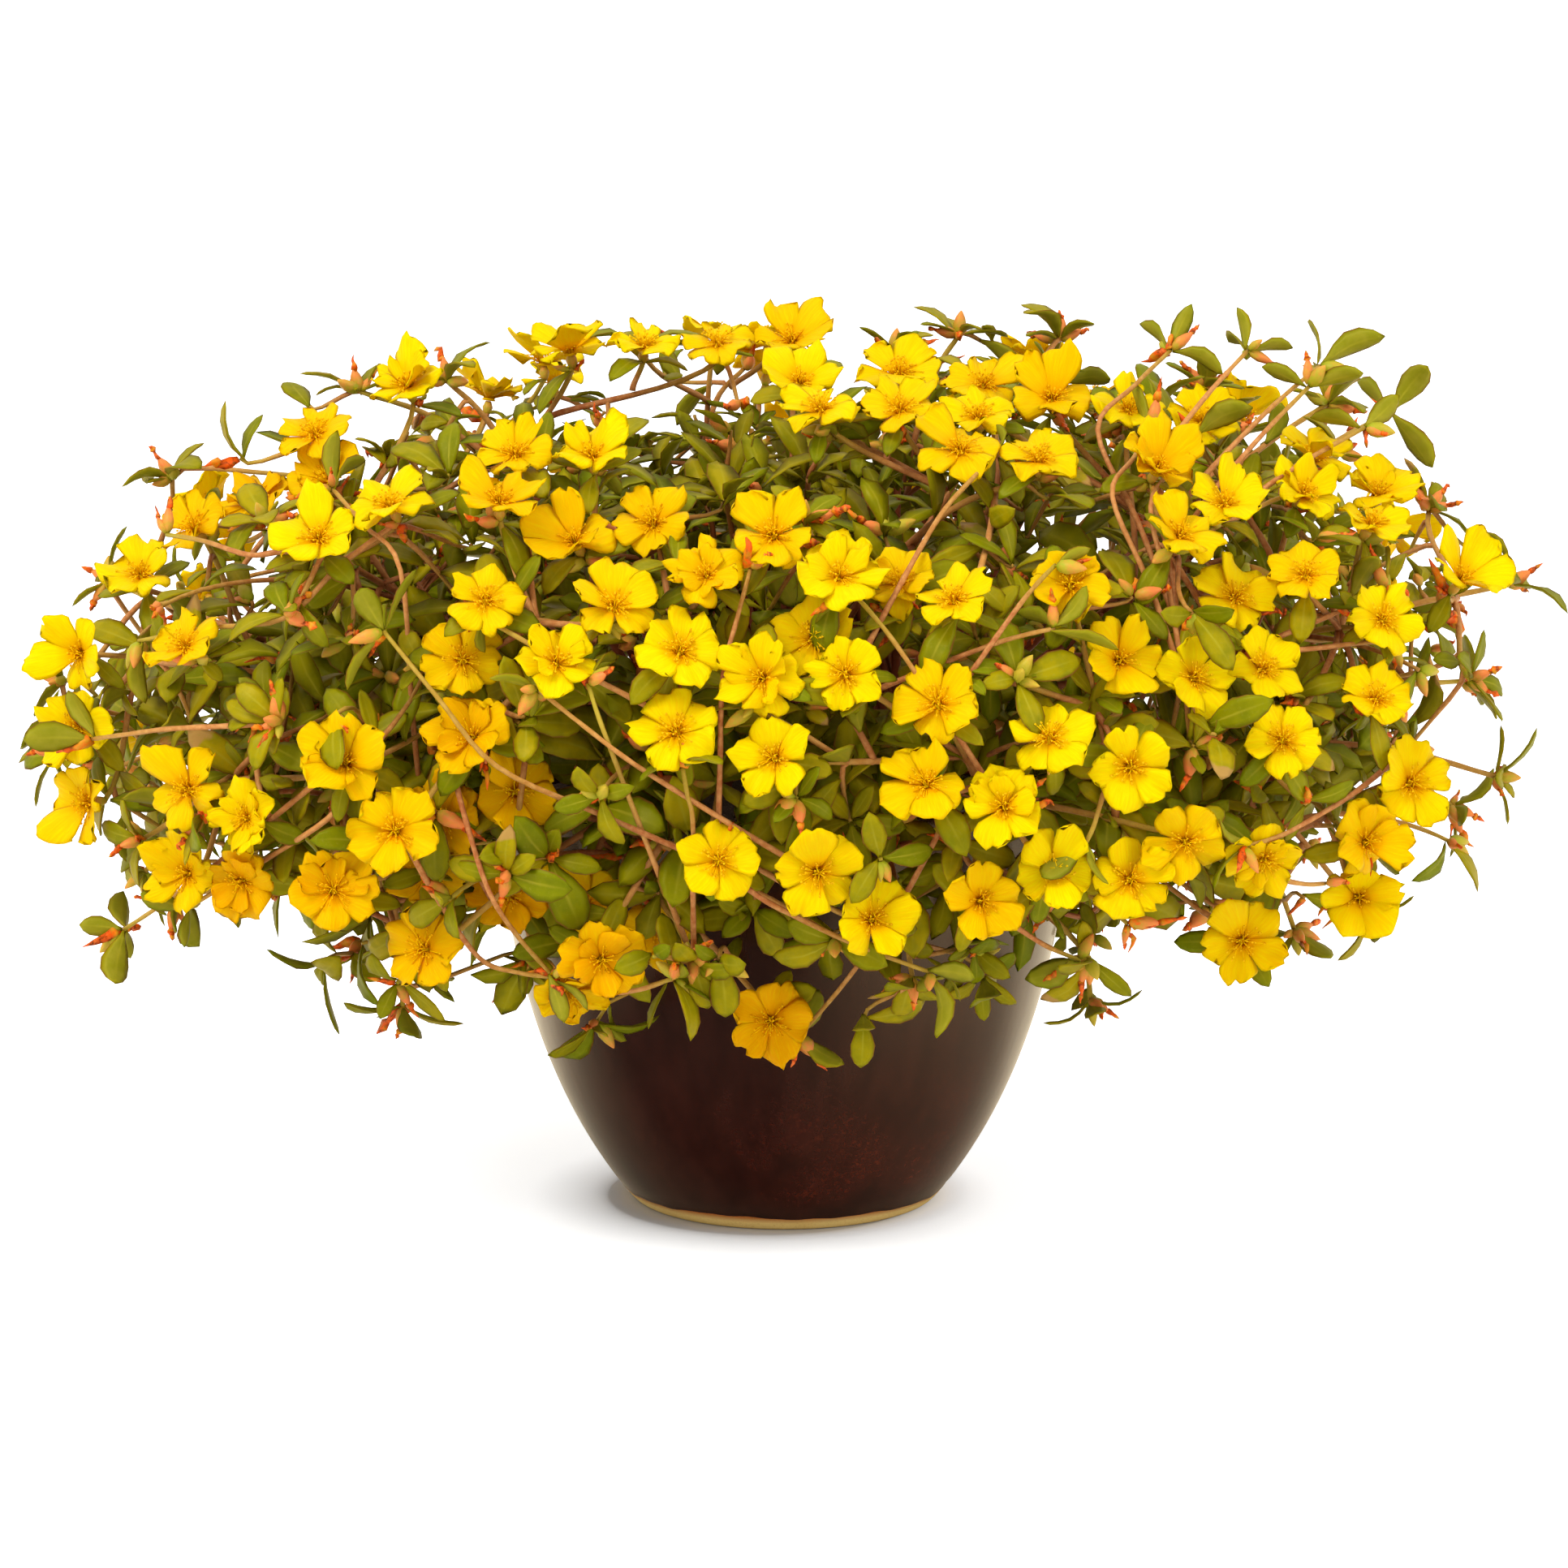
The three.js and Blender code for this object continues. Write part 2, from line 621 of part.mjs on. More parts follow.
// The middle of the ring of leaves at a stem's end.
function hubOf(end) {
  return around(end, 0, 0, end.bloom ? -BLOOM.baseDepth - STEM.gap - LEAF.depth : -LEAF.depth);
}

function staysInShare(solid, plant) {
  const { numProp, vertProperties } = solid.getMesh();
  for (let i = 0; i < vertProperties.length; i += numProp) {
    const point = vector(vertProperties[i], vertProperties[i + 1], vertProperties[i + 2]);
    if (insideShare(point, plant) < SHARE_GAP) return false;
  }
  return true;
}

function fits(solid, plant, hurdles) {
  return staysInShare(solid, plant) && isClear(solid, hurdles, POSY_GAP);
}

// The rings of a stem from its start to the hub, turned to match the hub's own directions.
function stemRings(spine, radii, end) {
  const rings = [];
  let guide = end.right;
  for (let i = spine.length - 1; i >= 0; i--) {
    const ahead = spine[Math.min(i + 1, spine.length - 1)];
    const along = i === spine.length - 1 ? end.axis
      : ahead.clone().sub(spine[Math.max(i - 1, 0)]).normalize();
    guide = guide.clone().addScaledVector(along, -guide.dot(along)).normalize();
    const frame = { centre: spine[i], axis: along, right: guide, forward: along.clone().cross(guide) };
    rings.unshift([0, 1, 2].map((k) => around(frame, k / 3 * TURN, radii[i], 0)));
  }
  return rings;
}

// A stem with the leaves (and bud) at its end, in one closed skin; without leaves, the end swells
// to `bareReach`.
function shootSolid({ spine, radii, end }, leaves, bareReach) {
  const rings = stemRings(spine, radii, end);
  const points = rings.flat();
  const triangles = [[0, 2, 1]];
  for (let i = 0; i + 1 < rings.length; i++) {
    for (let k = 0; k < 3; k++) {
      const a = i * 3 + k;
      const b = i * 3 + (k + 1) % 3;
      triangles.push([a, b, b + 3], [a, b + 3, a + 3]);
    }
  }
  const last = points.length - 3;
  const hub = { ...end, centre: hubOf(end) };
  const outline = leaves.length > 0 ? leaves.flatMap((leaf) => leafPlaces(leaf))
    : [0, 1, 2].map((k) => ({ turn: k / 3 * TURN, reach: bareReach, height: 0 }));
  const first = points.length;
  points.push(...outline.map(({ turn, reach, height }) => around(hub, turn, reach, height)));
  const lowTurns = [0, 1, 2].map((k) => k / 3 * TURN);
  const rimTurns = outline.map(({ turn }) => turn);
  triangles.push(...band(last, lowTurns, first, rimTurns));
  if (end.bloom) {
    points.push(around(hub, 0, 0, LEAF.depth));
    outline.forEach((_, i) => {
      triangles.push([points.length - 1, first + i, first + (i + 1) % outline.length]);
    });
    return solidFrom(points, triangles);
  }
  const budRing = points.length;
  points.push(...lowTurns.map((turn) => around(hub, turn, BUD.halfWidth, BUD.widestAt)));
  points.push(around(hub, 0, 0, BUD.length));
  const upper = band(budRing, lowTurns, first, rimTurns).map(([a, b, c]) => [a, c, b]);
  const cone = [0, 1, 2].map((k) => [budRing + 3, budRing + k, budRing + (k + 1) % 3]);
  triangles.push(...upper, ...cone);
  return solidFrom(points, triangles);
}

// Triangles between an inner and an outer ring of corners, walked round by their turns; they face
// down the axis.
function band(inner, innerTurns, outer, outerTurns) {
  const [n, m] = [innerTurns.length, outerTurns.length];
  const offs = outerTurns.map((turn) => Math.abs(shortWay(turn - innerTurns[0])));
  const start = offs.indexOf(Math.min(...offs));
  const unwound = (turns, i, from) => turns[i % turns.length] + Math.floor(i / turns.length) * TURN
    - from;
  const base = outerTurns[start];
  const lag = shortWay(base - innerTurns[0]);
  const triangles = [];
  let [i, j] = [0, 0];
  while (i < n || j < m) {
    const nextInner = unwound(innerTurns, i + 1, innerTurns[0]);
    const nextOuter = unwound(outerTurns, start + j + 1, base) + lag;
    const a = inner + (i % n);
    const b = outer + ((start + j) % m);
    if (j < m && (i >= n || nextOuter <= nextInner)) {
      triangles.push([a, outer + ((start + j + 1) % m), b]);
      j += 1;
    } else {
      triangles.push([a, inner + ((i + 1) % n), b]);
      i += 1;
    }
  }
  return triangles;
}

// A stem to one end: from the nearest stem already there, or else a new limb from the crown.
function stemTo(end, joins, hurdles, stems) {
  const tip = hubOf(end).addScaledVector(end.axis, -LEAF.bottom);
  const foot = crownFoot(end.plant);
  const near = joins
    .filter((join) => join.distanceTo(tip) < STEM.joinReach
      && join.distanceTo(foot) < tip.distanceTo(foot) - 4)
    .sort((a, b) => a.distanceTo(tip) - b.distanceTo(tip));
  const tries = near.slice(0, 12).map((join) => [join, tip]);
  tries.push(...STEM.lifts.map((lift) => limbSpine(end.plant, tip, lift)));
  const found = [];
  for (const spine of tries) {
    const limb = spine.length > 2;
    const thick = limb ? STEM.thick : STEM.joint;
    const radii = spine.map((_, i) => mix(thick, STEM.thin, i / (spine.length - 1)));
    const solid = tube(spine, radii, 3);
    if (clearsPot(spine) && fits(solid, end.plant, hurdles)) {
      const middles = spine.slice(1).map((point, i) => spine[i].clone().lerp(point, 0.5));
      found.push({ end, solid, spine, radii, joins: limb ? middles.slice(1) : middles });
      const free = [spine[0].clone().lerp(spine[1], limb ? 0.9 : 0.25), ...spine.slice(1)];
      if (isClear(tube(free, radii, 3), stems, LEAST_GAP)) return found[found.length - 1];
    }
  }
  return found[0] ?? null;
}

// The outline of one leaf of a ring of leaves, from the hub to the tip and back.
function leafPlaces({ turn, length, rise, spread }) {
  const middle = LEAF.widestAt * length;
  const half = Math.min(spread * 0.42, Math.atan2(LEAF.halfWidth * length / LEAF.length, middle));
  return [
    { turn: turn - spread / 2, reach: LEAF.hub, height: 0 },
    { turn: turn - half, reach: middle, height: middle * rise + 0.5 },
    { turn, reach: length, height: length * rise },
    { turn: turn + half, reach: middle, height: middle * rise + 0.5 },
  ];
}

// The ring of leaves under a bloom or round a shoot's bud; a leaf that would meet a petal, a stem,
// the pot or the next plant is shorter.
function growLeaves(end, hurdles) {
  const bare = end.bloom && draw(...end.keys, 8) < LEAF.bareShare;
  if (bare) return { leaves: [], trials: [] };
  const count = end.bloom ? LEAF.underBloom : LEAF.onShoot;
  const hub = { ...end, centre: hubOf(end) };
  const spread = TURN / count;
  const spin = draw(...end.keys, 7) * spread;
  const top = around(hub, 0, 0, end.bloom ? LEAF.depth : BUD.widestAt);
  const bottom = around(hub, 0, 0, -LEAF.bottom);
  const leaves = [];
  const trials = [];
  for (let k = 0; k < count; k++) {
    const full = LEAF.length * mix(0.85, 1.25, draw(...end.keys, 30 + k));
    const rise = end.bloom ? mix(-0.25, 0.2, draw(...end.keys, 40 + k))
      : mix(0, 0.7, draw(...end.keys, 40 + k));
    let leaf = null;
    for (const share of LEAF.shorter) {
      leaf = { turn: spin + k * spread, length: full * share, rise, spread };
      const places = [...leafPlaces(leaf),
        { turn: leaf.turn + spread / 2, reach: LEAF.hub, height: 0 },
        { turn: leaf.turn + Math.PI, reach: 1, height: 0 }];
      const outline = places.map(({ turn, reach, height }) => around(hub, turn, reach, height));
      const trial = blade(outline, top, bottom);
      if (fits(trial, end.plant, hurdles)) {
        trials.push(trial);
        break;
      }
      leaf.length = LEAF.hub + 0.5;
    }
    leaves.push(leaf);
  }
  return { leaves, trials };
}

// A shoot with its leaves, or where petals leave them no room, bare, and slim if it must be.
function fittedShoot(shoot, leaves, hurdles) {
  const shapes = [
    shootSolid(shoot, leaves, LEAF.hub),
    shootSolid(shoot, [], LEAF.hub),
    shootSolid(shoot, [], LEAF.slimHub),
  ];
  return shapes.find((shape) => isClear(shape, hurdles, LEAST_GAP)) ?? shapes[2];
}

function growPlant(plant, ends, hurdles) {
  const foot = crownFoot(plant);
  const mine = ends.filter((end) => end.plant === plant)
    .sort((a, b) => b.centre.distanceTo(foot) - a.centre.distanceTo(foot));
  const joins = [];
  const shoots = [];
  const stems = [];
  for (const end of mine) {
    const shoot = stemTo(end, joins, hurdles, stems);
    if (!shoot && end.bloom) throw new Error(`no way for a stem to bloom ${end.keys}`);
    if (!shoot) continue;
    joins.push(...shoot.joins);
    shoots.push(shoot);
    stems.push(hurdle(shoot.solid));
  }
  const grown = [];
  let body = crownSolid(plant);
  shoots.forEach((shoot, i) => {
    const others = [...hurdles, ...stems.filter((_, k) => k !== i), ...grown];
    const { leaves, trials } = growLeaves(shoot.end, others);
    grown.push(...trials.map((trial) => hurdle(trial)));
    body = body.add(fittedShoot(shoot, leaves, hurdles));
  });
  return body.simplify(SIMPLEST);
}

// --- The whole ----------------------------------------------------------------------------------

const GLAZE = new THREE.MeshStandardMaterial({ color: 0x3a1f1a, roughness: 0.18, metalness: 0 });
const EARTH = new THREE.MeshStandardMaterial({ color: 0x2f231a, roughness: 0.95, metalness: 0 });
const GREEN = new THREE.MeshStandardMaterial({ color: 0x7d8a2e, roughness: 0.55, metalness: 0 });
const YELLOW = new THREE.MeshStandardMaterial({ color: 0xf7d90c, roughness: 0.6, metalness: 0 });
const GOLD = new THREE.MeshStandardMaterial({ color: 0xf3ab08, roughness: 0.6, metalness: 0 });
const GOLD_BELOW = 170;         // posies that hang lower than this are golden

function meshOf(name, solid, material) {
  const { numProp, vertProperties, triVerts } = solid.getMesh();
  const places = new Float32Array(vertProperties.length / numProp * 3);
  for (let i = 0; i < places.length / 3; i++) {
    for (let axis = 0; axis < 3; axis++) places[i * 3 + axis] = vertProperties[i * numProp + axis];
  }
  const geometry = new THREE.BufferGeometry();
  geometry.setAttribute('position', new THREE.BufferAttribute(places, 3));
  geometry.setIndex(new THREE.BufferAttribute(new Uint32Array(triVerts), 1));
  geometry.computeVertexNormals();
  const mesh = new THREE.Mesh(geometry, material);
  mesh.name = name;
  return mesh;
}

const group = new THREE.Group();
const pot = potSolid();
const soil = soilSolid();
group.add(meshOf('pot', pot, GLAZE), meshOf('soil', soil, EARTH));

const holder = [hurdle(pot), hurdle(soil)];
const posies = growPosies(holder);
posies.forEach(({ blooms, solid }, i) => {
  const name = `posy_${String(i + 1).padStart(2, '0')}`;
  group.add(meshOf(name, solid, blooms[0].centre.z < GOLD_BELOW ? GOLD : YELLOW));
});

const ends = stemEnds(posies);
const hurdles = [hurdle(pot), ...posies.map(({ solid }) => hurdle(solid))];
for (let plant = 0; plant < PLANTS.count; plant++) {
  group.add(meshOf(`plant_${plant + 1}`, growPlant(plant, ends, hurdles), GREEN));
}

export default group;
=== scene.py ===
import functools
import math
from dataclasses import dataclass

import bpy
import numpy as np
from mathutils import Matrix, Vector
from mathutils.bvhtree import BVHTree
from mathutils.kdtree import KDTree


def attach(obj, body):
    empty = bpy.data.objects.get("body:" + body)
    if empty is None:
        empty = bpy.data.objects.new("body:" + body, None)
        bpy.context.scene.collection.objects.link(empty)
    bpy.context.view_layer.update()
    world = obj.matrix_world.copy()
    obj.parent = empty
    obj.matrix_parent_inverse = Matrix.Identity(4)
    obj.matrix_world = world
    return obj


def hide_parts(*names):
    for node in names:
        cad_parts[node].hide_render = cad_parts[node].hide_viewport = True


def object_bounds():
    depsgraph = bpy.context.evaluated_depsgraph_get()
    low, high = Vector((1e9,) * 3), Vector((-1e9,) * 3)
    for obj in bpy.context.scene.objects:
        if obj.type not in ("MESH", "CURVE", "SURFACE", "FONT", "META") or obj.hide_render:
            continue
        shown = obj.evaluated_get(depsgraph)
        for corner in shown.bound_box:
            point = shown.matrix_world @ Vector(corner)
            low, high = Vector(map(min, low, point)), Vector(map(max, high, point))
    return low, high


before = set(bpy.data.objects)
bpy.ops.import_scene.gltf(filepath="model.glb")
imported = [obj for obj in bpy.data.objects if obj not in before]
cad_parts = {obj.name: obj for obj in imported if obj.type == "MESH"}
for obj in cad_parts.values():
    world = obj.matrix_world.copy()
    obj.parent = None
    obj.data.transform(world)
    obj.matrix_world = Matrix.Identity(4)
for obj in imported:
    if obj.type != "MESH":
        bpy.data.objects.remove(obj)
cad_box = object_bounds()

MM = 0.001
TURN = 2 * math.pi
DEGREE = TURN / 360
Z = Vector((0, 0, 1))

# --- The frame's own layout, repeated ---

POT_HEIGHT = 172
RIM_RADIUS = 116
WALL = 6
LIP = 4
FLOOR = 8
FOOT_RADIUS = 60
GLAZE_RADIUS = 65
GLAZE_HEIGHT = 5.5
SOIL_LEVEL = 156
SOIL_GAP = 0.4

MOUND_HALF_WIDTH = 285
MOUND_HALF_DEPTH = 225
MOUND_MIDDLE = 205
MOUND_RISE = 135
MOUND_DROP = 125
MOUND_POWER = 2.4
BEST_VIEW = Vector((0, -1950, 522))
VIEW_STEPS = 2000
MOUND_STEPS = range(1690, 2200)

SEED = 41
SPACING = 28.5
LEAST_APART = 34
OTHER_TURNS = (0, 20, -20, 40, -40, 60, -60, 80, -80, 100, -100, 130, -130, 160)
PETALS = 5
PETAL_LENGTH = 16.4
TOP_HEIGHT = 0.4
BASE_DEPTH = 2.2
TOWARDS = 0.75
UPWARD = 0.45
WANDER = 1.3
SET_BACK = 14
MOST_SET_BACK = 112

PLANT_COUNT = 5
FIRST_TURN = -90 * DEGREE
SHARE = TURN / PLANT_COUNT
CROWN_REACH = 45
CROWN_KNOB = 11
SHARE_INSIDE = 7
STEM_THICK = 2.3
STEM_THIN = 1.2
STEM_JOINT = 1.3
JOIN_REACH = 85
LIFTS = (0, 12, 24, 36, 48, 60, 72, -12, 90, -24)
LEAF_LENGTH = 20
LEAF_DEPTH = 3
LEAF_BOTTOM = 1.3
HUB_GAP = 0.7
BARE_SHARE = 0.62
SHORTER = (1, 0.85, 0.7, 0.55, 0.4, 0.28)
BUD_LENGTH = 10
BUD_HALF_WIDTH = 2.4
SHOOT_TRIES = 80
NEAR_BEST = 17
IN_FRONT = 48
ELSEWHERE = 33
FRONT_DEPTH = -60
SHOOT_INSET = 2

FRONT_POSIES = (
    (-182, 302), (-146, 321), (-153, 274, 204), (-111, 275, 90, -27), (-251, 247, 4, -25, -25),
    (-234, 219), (-275, 217, 270, 262), (-117, 237), (-126, 214, -80), (-234, 162, -7, 243, 205),
    (-178, 122), (-153, 146, 125), (-146, 99), (-86, 82, 74), (-26, 134), (13, 130, -51), (-5, 70),
    (-3, 175, 98, -17), (-42, 185), (-41, 217, 144, 227), (-81, 260, 18), (-30, 247, 39, -45),
    (-83, 335, -45, -20, 15), (6, 322, -85, 5, -15, 220, -6), (67, 237), (72, 321, 123),
    (104, 316, 3, 28), (145, 289, -49, 193), (202, 279, 5, 95, 165), (264, 245), (234, 230),
    (204, 247), (176, 238, -78, 190, 172), (112, 243), (232, 198), (196, 182),
    (61, 196, 262, -17, 57), (136, 172), (246, 165, 215, -62), (164, 143, -24), (77, 118, 24, -16),
    (181, 102), (-50, 108, 125, 185, 164, 53, 27), (12, 222), (46, 244),
)
BACK_POSIES = (
    (28, 215, 60, 150), (58, 165, 20, 110), (50, 300, 30, 120), (92, 225, 10, 100),
    (118, 175, 170, 80), (128, 300, 160, 60), (150, 220, 130, 40), (92, 312, 80, 100, 60),
)
FRONT_SHOOTS = (
    (51, 84), (36, 62), (-36, 92), (-24, 52), (-152, 72), (122, 92), (-256, 142), (272, 208),
    (107, 343), (43, 338), (212, 318), (-203, 271), (-288, 178), (286, 246), (68, 345), (-110, 128),
    (222, 262), (8, 272), (92, 208), (20, 100), (-200, 190), (150, 212),
)

# --- What the looks add ---

# Blooms. Each pair holds the least and the most that a draw may give.
PETAL_ROWS = (0, 0.14, 0.3, 0.48, 0.66, 0.82, 0.93, 1)
PETAL_COLUMNS = (-1, -0.8, -0.54, -0.27, 0, 0.27, 0.54, 0.8, 1)
PETAL_WIDTHS = (0.18, 0.38, 0.64, 0.88, 1.0, 1.03, 0.95, 0.7)
PETAL_THICKNESS = 0.45
PETAL_REACH = (0.92, 1.05)  # shares of PETAL_LENGTH, as the next two
PETAL_HALF_WIDTH = (0.35, 0.53)
INNER_PETAL_REACH = (0.6, 0.82)
PETAL_NOTCH = (0.0, 0.24)  # shares of the petal's length cut out of its end, as the next
PETAL_CORNER = (0.14, 0.42)
NOTCH_PLACE = (-0.3, 0.3)  # across the petal, from -1 to 1
NOTCH_WIDTH = 0.27
PETAL_SLANT = (-0.08, 0.08)
PETAL_FRILLS = (5, 9)
PETAL_SHIFT = (-0.8, 0.8)
PETAL_CURL = (-0.12, 0.2)  # how far its sides rise, as a share of its half width
PETAL_DROOP = (-0.08, 0.16)  # how far its end falls, as a share of its length
PETAL_TWIST = (-0.12, 0.26)
PETAL_WAVES = (2, 3.8)
STAMEN_LENGTH = (4.2, 6.8)
STAMENS = 32
DOUBLE_SHARE = 0.2  # how many blooms have inner petals
FOLDED_SHARE = 0.12  # how many petals stand folded up
HALF_OPEN_SHARE = 0.22

# Leaves, buds and stems.
LEAF_ROWS = (0, 0.12, 0.3, 0.52, 0.74, 0.9, 1)
LEAF_COLUMNS = (-1, -0.55, 0, 0.55, 1)
LEAF_WIDTHS = (0.13, 0.28, 0.69, 0.98, 0.91, 0.56, 0.04)
INNER_LEAF_ROWS = (0, 0.26, 0.55, 0.82, 1)  # leaves deep in the mound have fewer faces
INNER_DEPTH = 0.3
LEAF_HALF_WIDTH = (0.18, 0.27)  # shares of its length, as the next two
LEAF_ARCH = (0.02, 0.11)
LEAF_SWAY = (-0.05, 0.05)
LEAF_FOLD = (0.05, 0.34)
LEAF_TWIST = (-0.35, 0.35)
LEAF_THICKNESS = (0.9, 1.3)
BUD_LENGTHS = (6.5, 12)
BUD_HALF_WIDTHS = (0.22, 0.3)  # shares of its length, as the next
SPENT_HALF_WIDTHS = (0.22, 0.34)
SPENT_SHARE = 0.3  # how many buds are spent flowers
CALYX_BUD_SHARE = 0.7  # how many blooms have buds beside them
TWIG_BUD_SHARE = 0.6
BUD_SIDES = 6
STEM_SIDES = 7
TWIG_SIDES = 5
STEM_GAP = 16  # distance from leaf to leaf along a stem
# Layers of twigs: how far they are set into the mound, and how many there are.
TWIG_LAYERS = ((6, 34), (24, 146), (46, 164), (72, 96), (98, 44))
TWIG_REACH = (10, 90)
LOWEST_TWIG = 70
LOWEST_SHOOT = 50
STEM_TRIES = 14  # how many older stems a new one may start from
AIRY_FROM = 200  # past this, to the left and right, the growth thins out
AIRY_PLACES = (  # across, up, radius and how bare, as the best side shows them
    (-215, 285, 40, 0.95), (-246, 264, 36, 0.95), (-280, 238, 34, 0.95), (-292, 205, 30, 0.8),
    (-285, 145, 34, 0.6), (-157, 337, 40, 0.9), (-111, 340, 40, 1), (-60, 347, 45, 0.95),
    (0, 348, 45, 1), (50, 352, 35, 0.8), (96, 352, 25, 0.5), (252, 275, 35, 0.7),
    (277, 235, 35, 0.7), (275, 198, 42, 0.95), (270, 165, 40, 0.9), (262, 143, 30, 0.8),
    (150, 84, 40, 0.9), (190, 98, 40, 0.85), (226, 106, 35, 0.8), (-160, 80, 30, 0.6),
    (-190, 106, 26, 0.4), (-226, 278, 34, 1), (-203, 292, 30, 0.9), (-252, 250, 26, 0.8),
    (-296, 216, 30, 1), (-285, 150, 30, 0.7), (122, 80, 24, 0.8), (204, 96, 30, 0.95),
    (-19, 338, 34, 1), (-88, 346, 34, 1), (272, 158, 30, 0.95),
)
RUNNERS = 90
RUNNER_REACH = (60, 125)
RUNNER_HEIGHTS = (100, 265)
ARCH = 11  # how far a long stem rises over the mound's surface
LONG_STEMS = (  # from and to, each across and up, as the best side shows them
    (-127, 260, -196, 292), (-209, 256, -241, 264), (-196, 231, -253, 222), (-163, 196, -222, 227),
    (-163, 195, -206, 193), (-113, 172, -157, 226), (-242, 187, -272, 183), (-180, 151, -236, 115),
    (-151, 114, -222, 120), (-116, 120, -93, 89), (-121, 95, -91, 87), (-2, 115, 58, 89),
    (43, 112, 6, 63), (-72, 81, -43, 87), (136, 102, 219, 108), (140, 285, 181, 301),
    (89, 273, 117, 308), (128, 279, 143, 305), (191, 210, 256, 207), (147, 157, 191, 163),
    (125, 158, 118, 139), (205, 149, 182, 140), (157, 116, 217, 107), (141, 101, 170, 98),
    (88, 110, 117, 94), (196, 127, 214, 125), (-24, 208, -13, 251), (-59, 173, -97, 203),
    (-69, 181, -77, 205), (45, 219, 26, 242), (-36, 150, -40, 172), (6, 186, -12, 196),
    (150, 300, 180, 336), (172, 296, 208, 330), (192, 286, 236, 312), (122, 305, 150, 336),
    (-228, 130, -262, 106), (104, 260, 113, 298), (108, 268, 134, 303), (143, 275, 160, 303),
    (84, 284, 102, 305), (168, 282, 204, 322), (178, 276, 226, 306), (60, 270, 84, 296),
    (-90, 215, -120, 232), (-150, 250, -176, 282), (180, 272, 201, 280), (208, 219, 238, 222),
    (214, 232, 236, 242), (92, 236, 106, 252), (80, 220, 106, 227),
)
BACK_PLACES = 110  # places tried for more blooms over the back
BACK_FROM = 55
BACK_APART = 43
BACK_LOWEST = 110
MOST_BACK = 45  # how far back a long stem's end may lie from its start

UPRIGHTS = 7  # stems from each crown to the middle of the mound's top
UPRIGHT_REACH = (15, 120)
UPRIGHT_TOP = (262, 298)
ROUTE_CLEAR = 8  # how near a long stem few leaves lie over it
ROUTE_DEPTH = 5
ROUTE_BARE = 0.85
MOST_BEND = 0.6  # cosine of the sharpest bend a long stem may start with
BOX_SPARE = 7  # how far a leaf may pass the frame's box
SPIRAL = 2.4  # turn from one leaf or stamen to the next
LAP = 0.05  # how much steeper a petal stands that passes over a neighbour's
GOLD_SHADE_SLOT_BELOW = 170  # posies lower than this name the petals_golden slot, a painted shade for low blooms
LEAF_SHARE = 0.75  # how many of the places along a stem have a leaf
STEM_TIP = STEM_THIN * 0.85
ARC_STEPS = 8
CURVE_STEPS = 5

# Stems: radius at the start and end, and the share of the way from which they are green. Then, for
# those with leaves along them, the distance to the first and how many places have one, and sides.
UPRIGHT_STEM = (1.9, 1.1, 0.6, (50, LEAF_SHARE))
LIMB_STEM = (STEM_THICK, STEM_TIP, 0.72, (95, LEAF_SHARE))
SIDE_STEM = (STEM_JOINT, STEM_TIP, 0.35, (9, LEAF_SHARE))
BLOOM_STEM = (STEM_JOINT, STEM_TIP, 0.4, (9, LEAF_SHARE))
TWIG_STEM = (1.2, 0.75, 0.2, (7, 0.85), TWIG_SIDES)
RUNNER_STEM = (1.2, 0.8, 0.5)
LONG_STEM = (1.15, 0.8)

# Rings of leaves: how they rise along the stem, and how long they are as shares of LEAF_LENGTH.
BLOOM_WHORL = ((-0.7, 0.1), (0.5, 1.2))
SHOOT_WHORL = ((-0.2, 1.3), (0.5, 1.2))
UPRIGHT_WHORL = ((-0.2, 1.2), (0.9, 1.4))
RUNNER_WHORL = ((-0.2, 1.6), (0.7, 1.3))
TWIG_WHORL = ((-0.3, 1.4), (0.6, 1.3))

# Small round forms: how far along and how wide.
BUD_FORM = ((0, 0.42), (0.16, 0.84), (0.42, 1), (0.7, 0.72), (0.9, 0.34), (1, 0.06))
TUFT_FORM = (0.5, 0.66, 0.6, 0.5, 0.56, 0.36, 0.08)
CALYX_FORM = ((-0.6, 1.0), (0.8, 1.7), (2.8, 2.2), (5.4, 1.2))
CROWN_FORM = ((-15, 4.6), (-6, 5.2), (0, 5.4), (4, 6.0), (8, 7.6), (12, 6.6), (15.5, 2.4))
CROWN_SIDES = 12
DISC_FORM = ((-0.6, 2.9), (0.1, 2.6), (0.5, 1.2))
STYLE_FORM = ((0, 0.3), (2.2, 0.24), (4.2, 0.2))
BRANCH_PATH = ((0, -0.2), (0.9, 1.5), (2.6, 1.7))  # of the style: out and up from its top
BRANCH_RADII = (0.22, 0.18, 0.12)
FILAMENT_RADII = (0.26, 0.22, 0.18)
ANTHER_FORM = ((0, 0.5), (0.8, 0.42))

POT_SIDES = 144
BOWL_SPREAD = (34.6, 45)  # how the bowl's curve leaves the glaze's edge and reaches the lip
BOWL_STEADY = (5.4, 60)
FOOT_PROFILE = ((0, 0), (40, 0), (FOOT_RADIUS - 1, 0), (FOOT_RADIUS, 0.25),
                (FOOT_RADIUS + 0.9, 0.9), (FOOT_RADIUS + 2, 2), (63.6, 3.9))
GLAZE_PROFILE = ((65.15, 5.6), (65.5, 6.3), (66.1, 7.2))
GLAZE_WAVES = ((0.35, 3, 1), (0.3, 7, 2.4), (0.18, 17, 0), (0.12, 31, 0.7))  # size, how many, start
LIP_PROFILE = ((115.9, 169.7), (115.4, 171.1), (114.5, 171.8), (113.2, 172), (112, 171.8),
               (110.9, 171), (110.2, 169.6))
SOIL_SIDES = 120
SOIL_RINGS = 26
SOIL_WAVES = ((0.7, 5, 0.13), (0.5, 11, -0.21))  # size, how many, and how they wind inwards
CRUMBS = 160
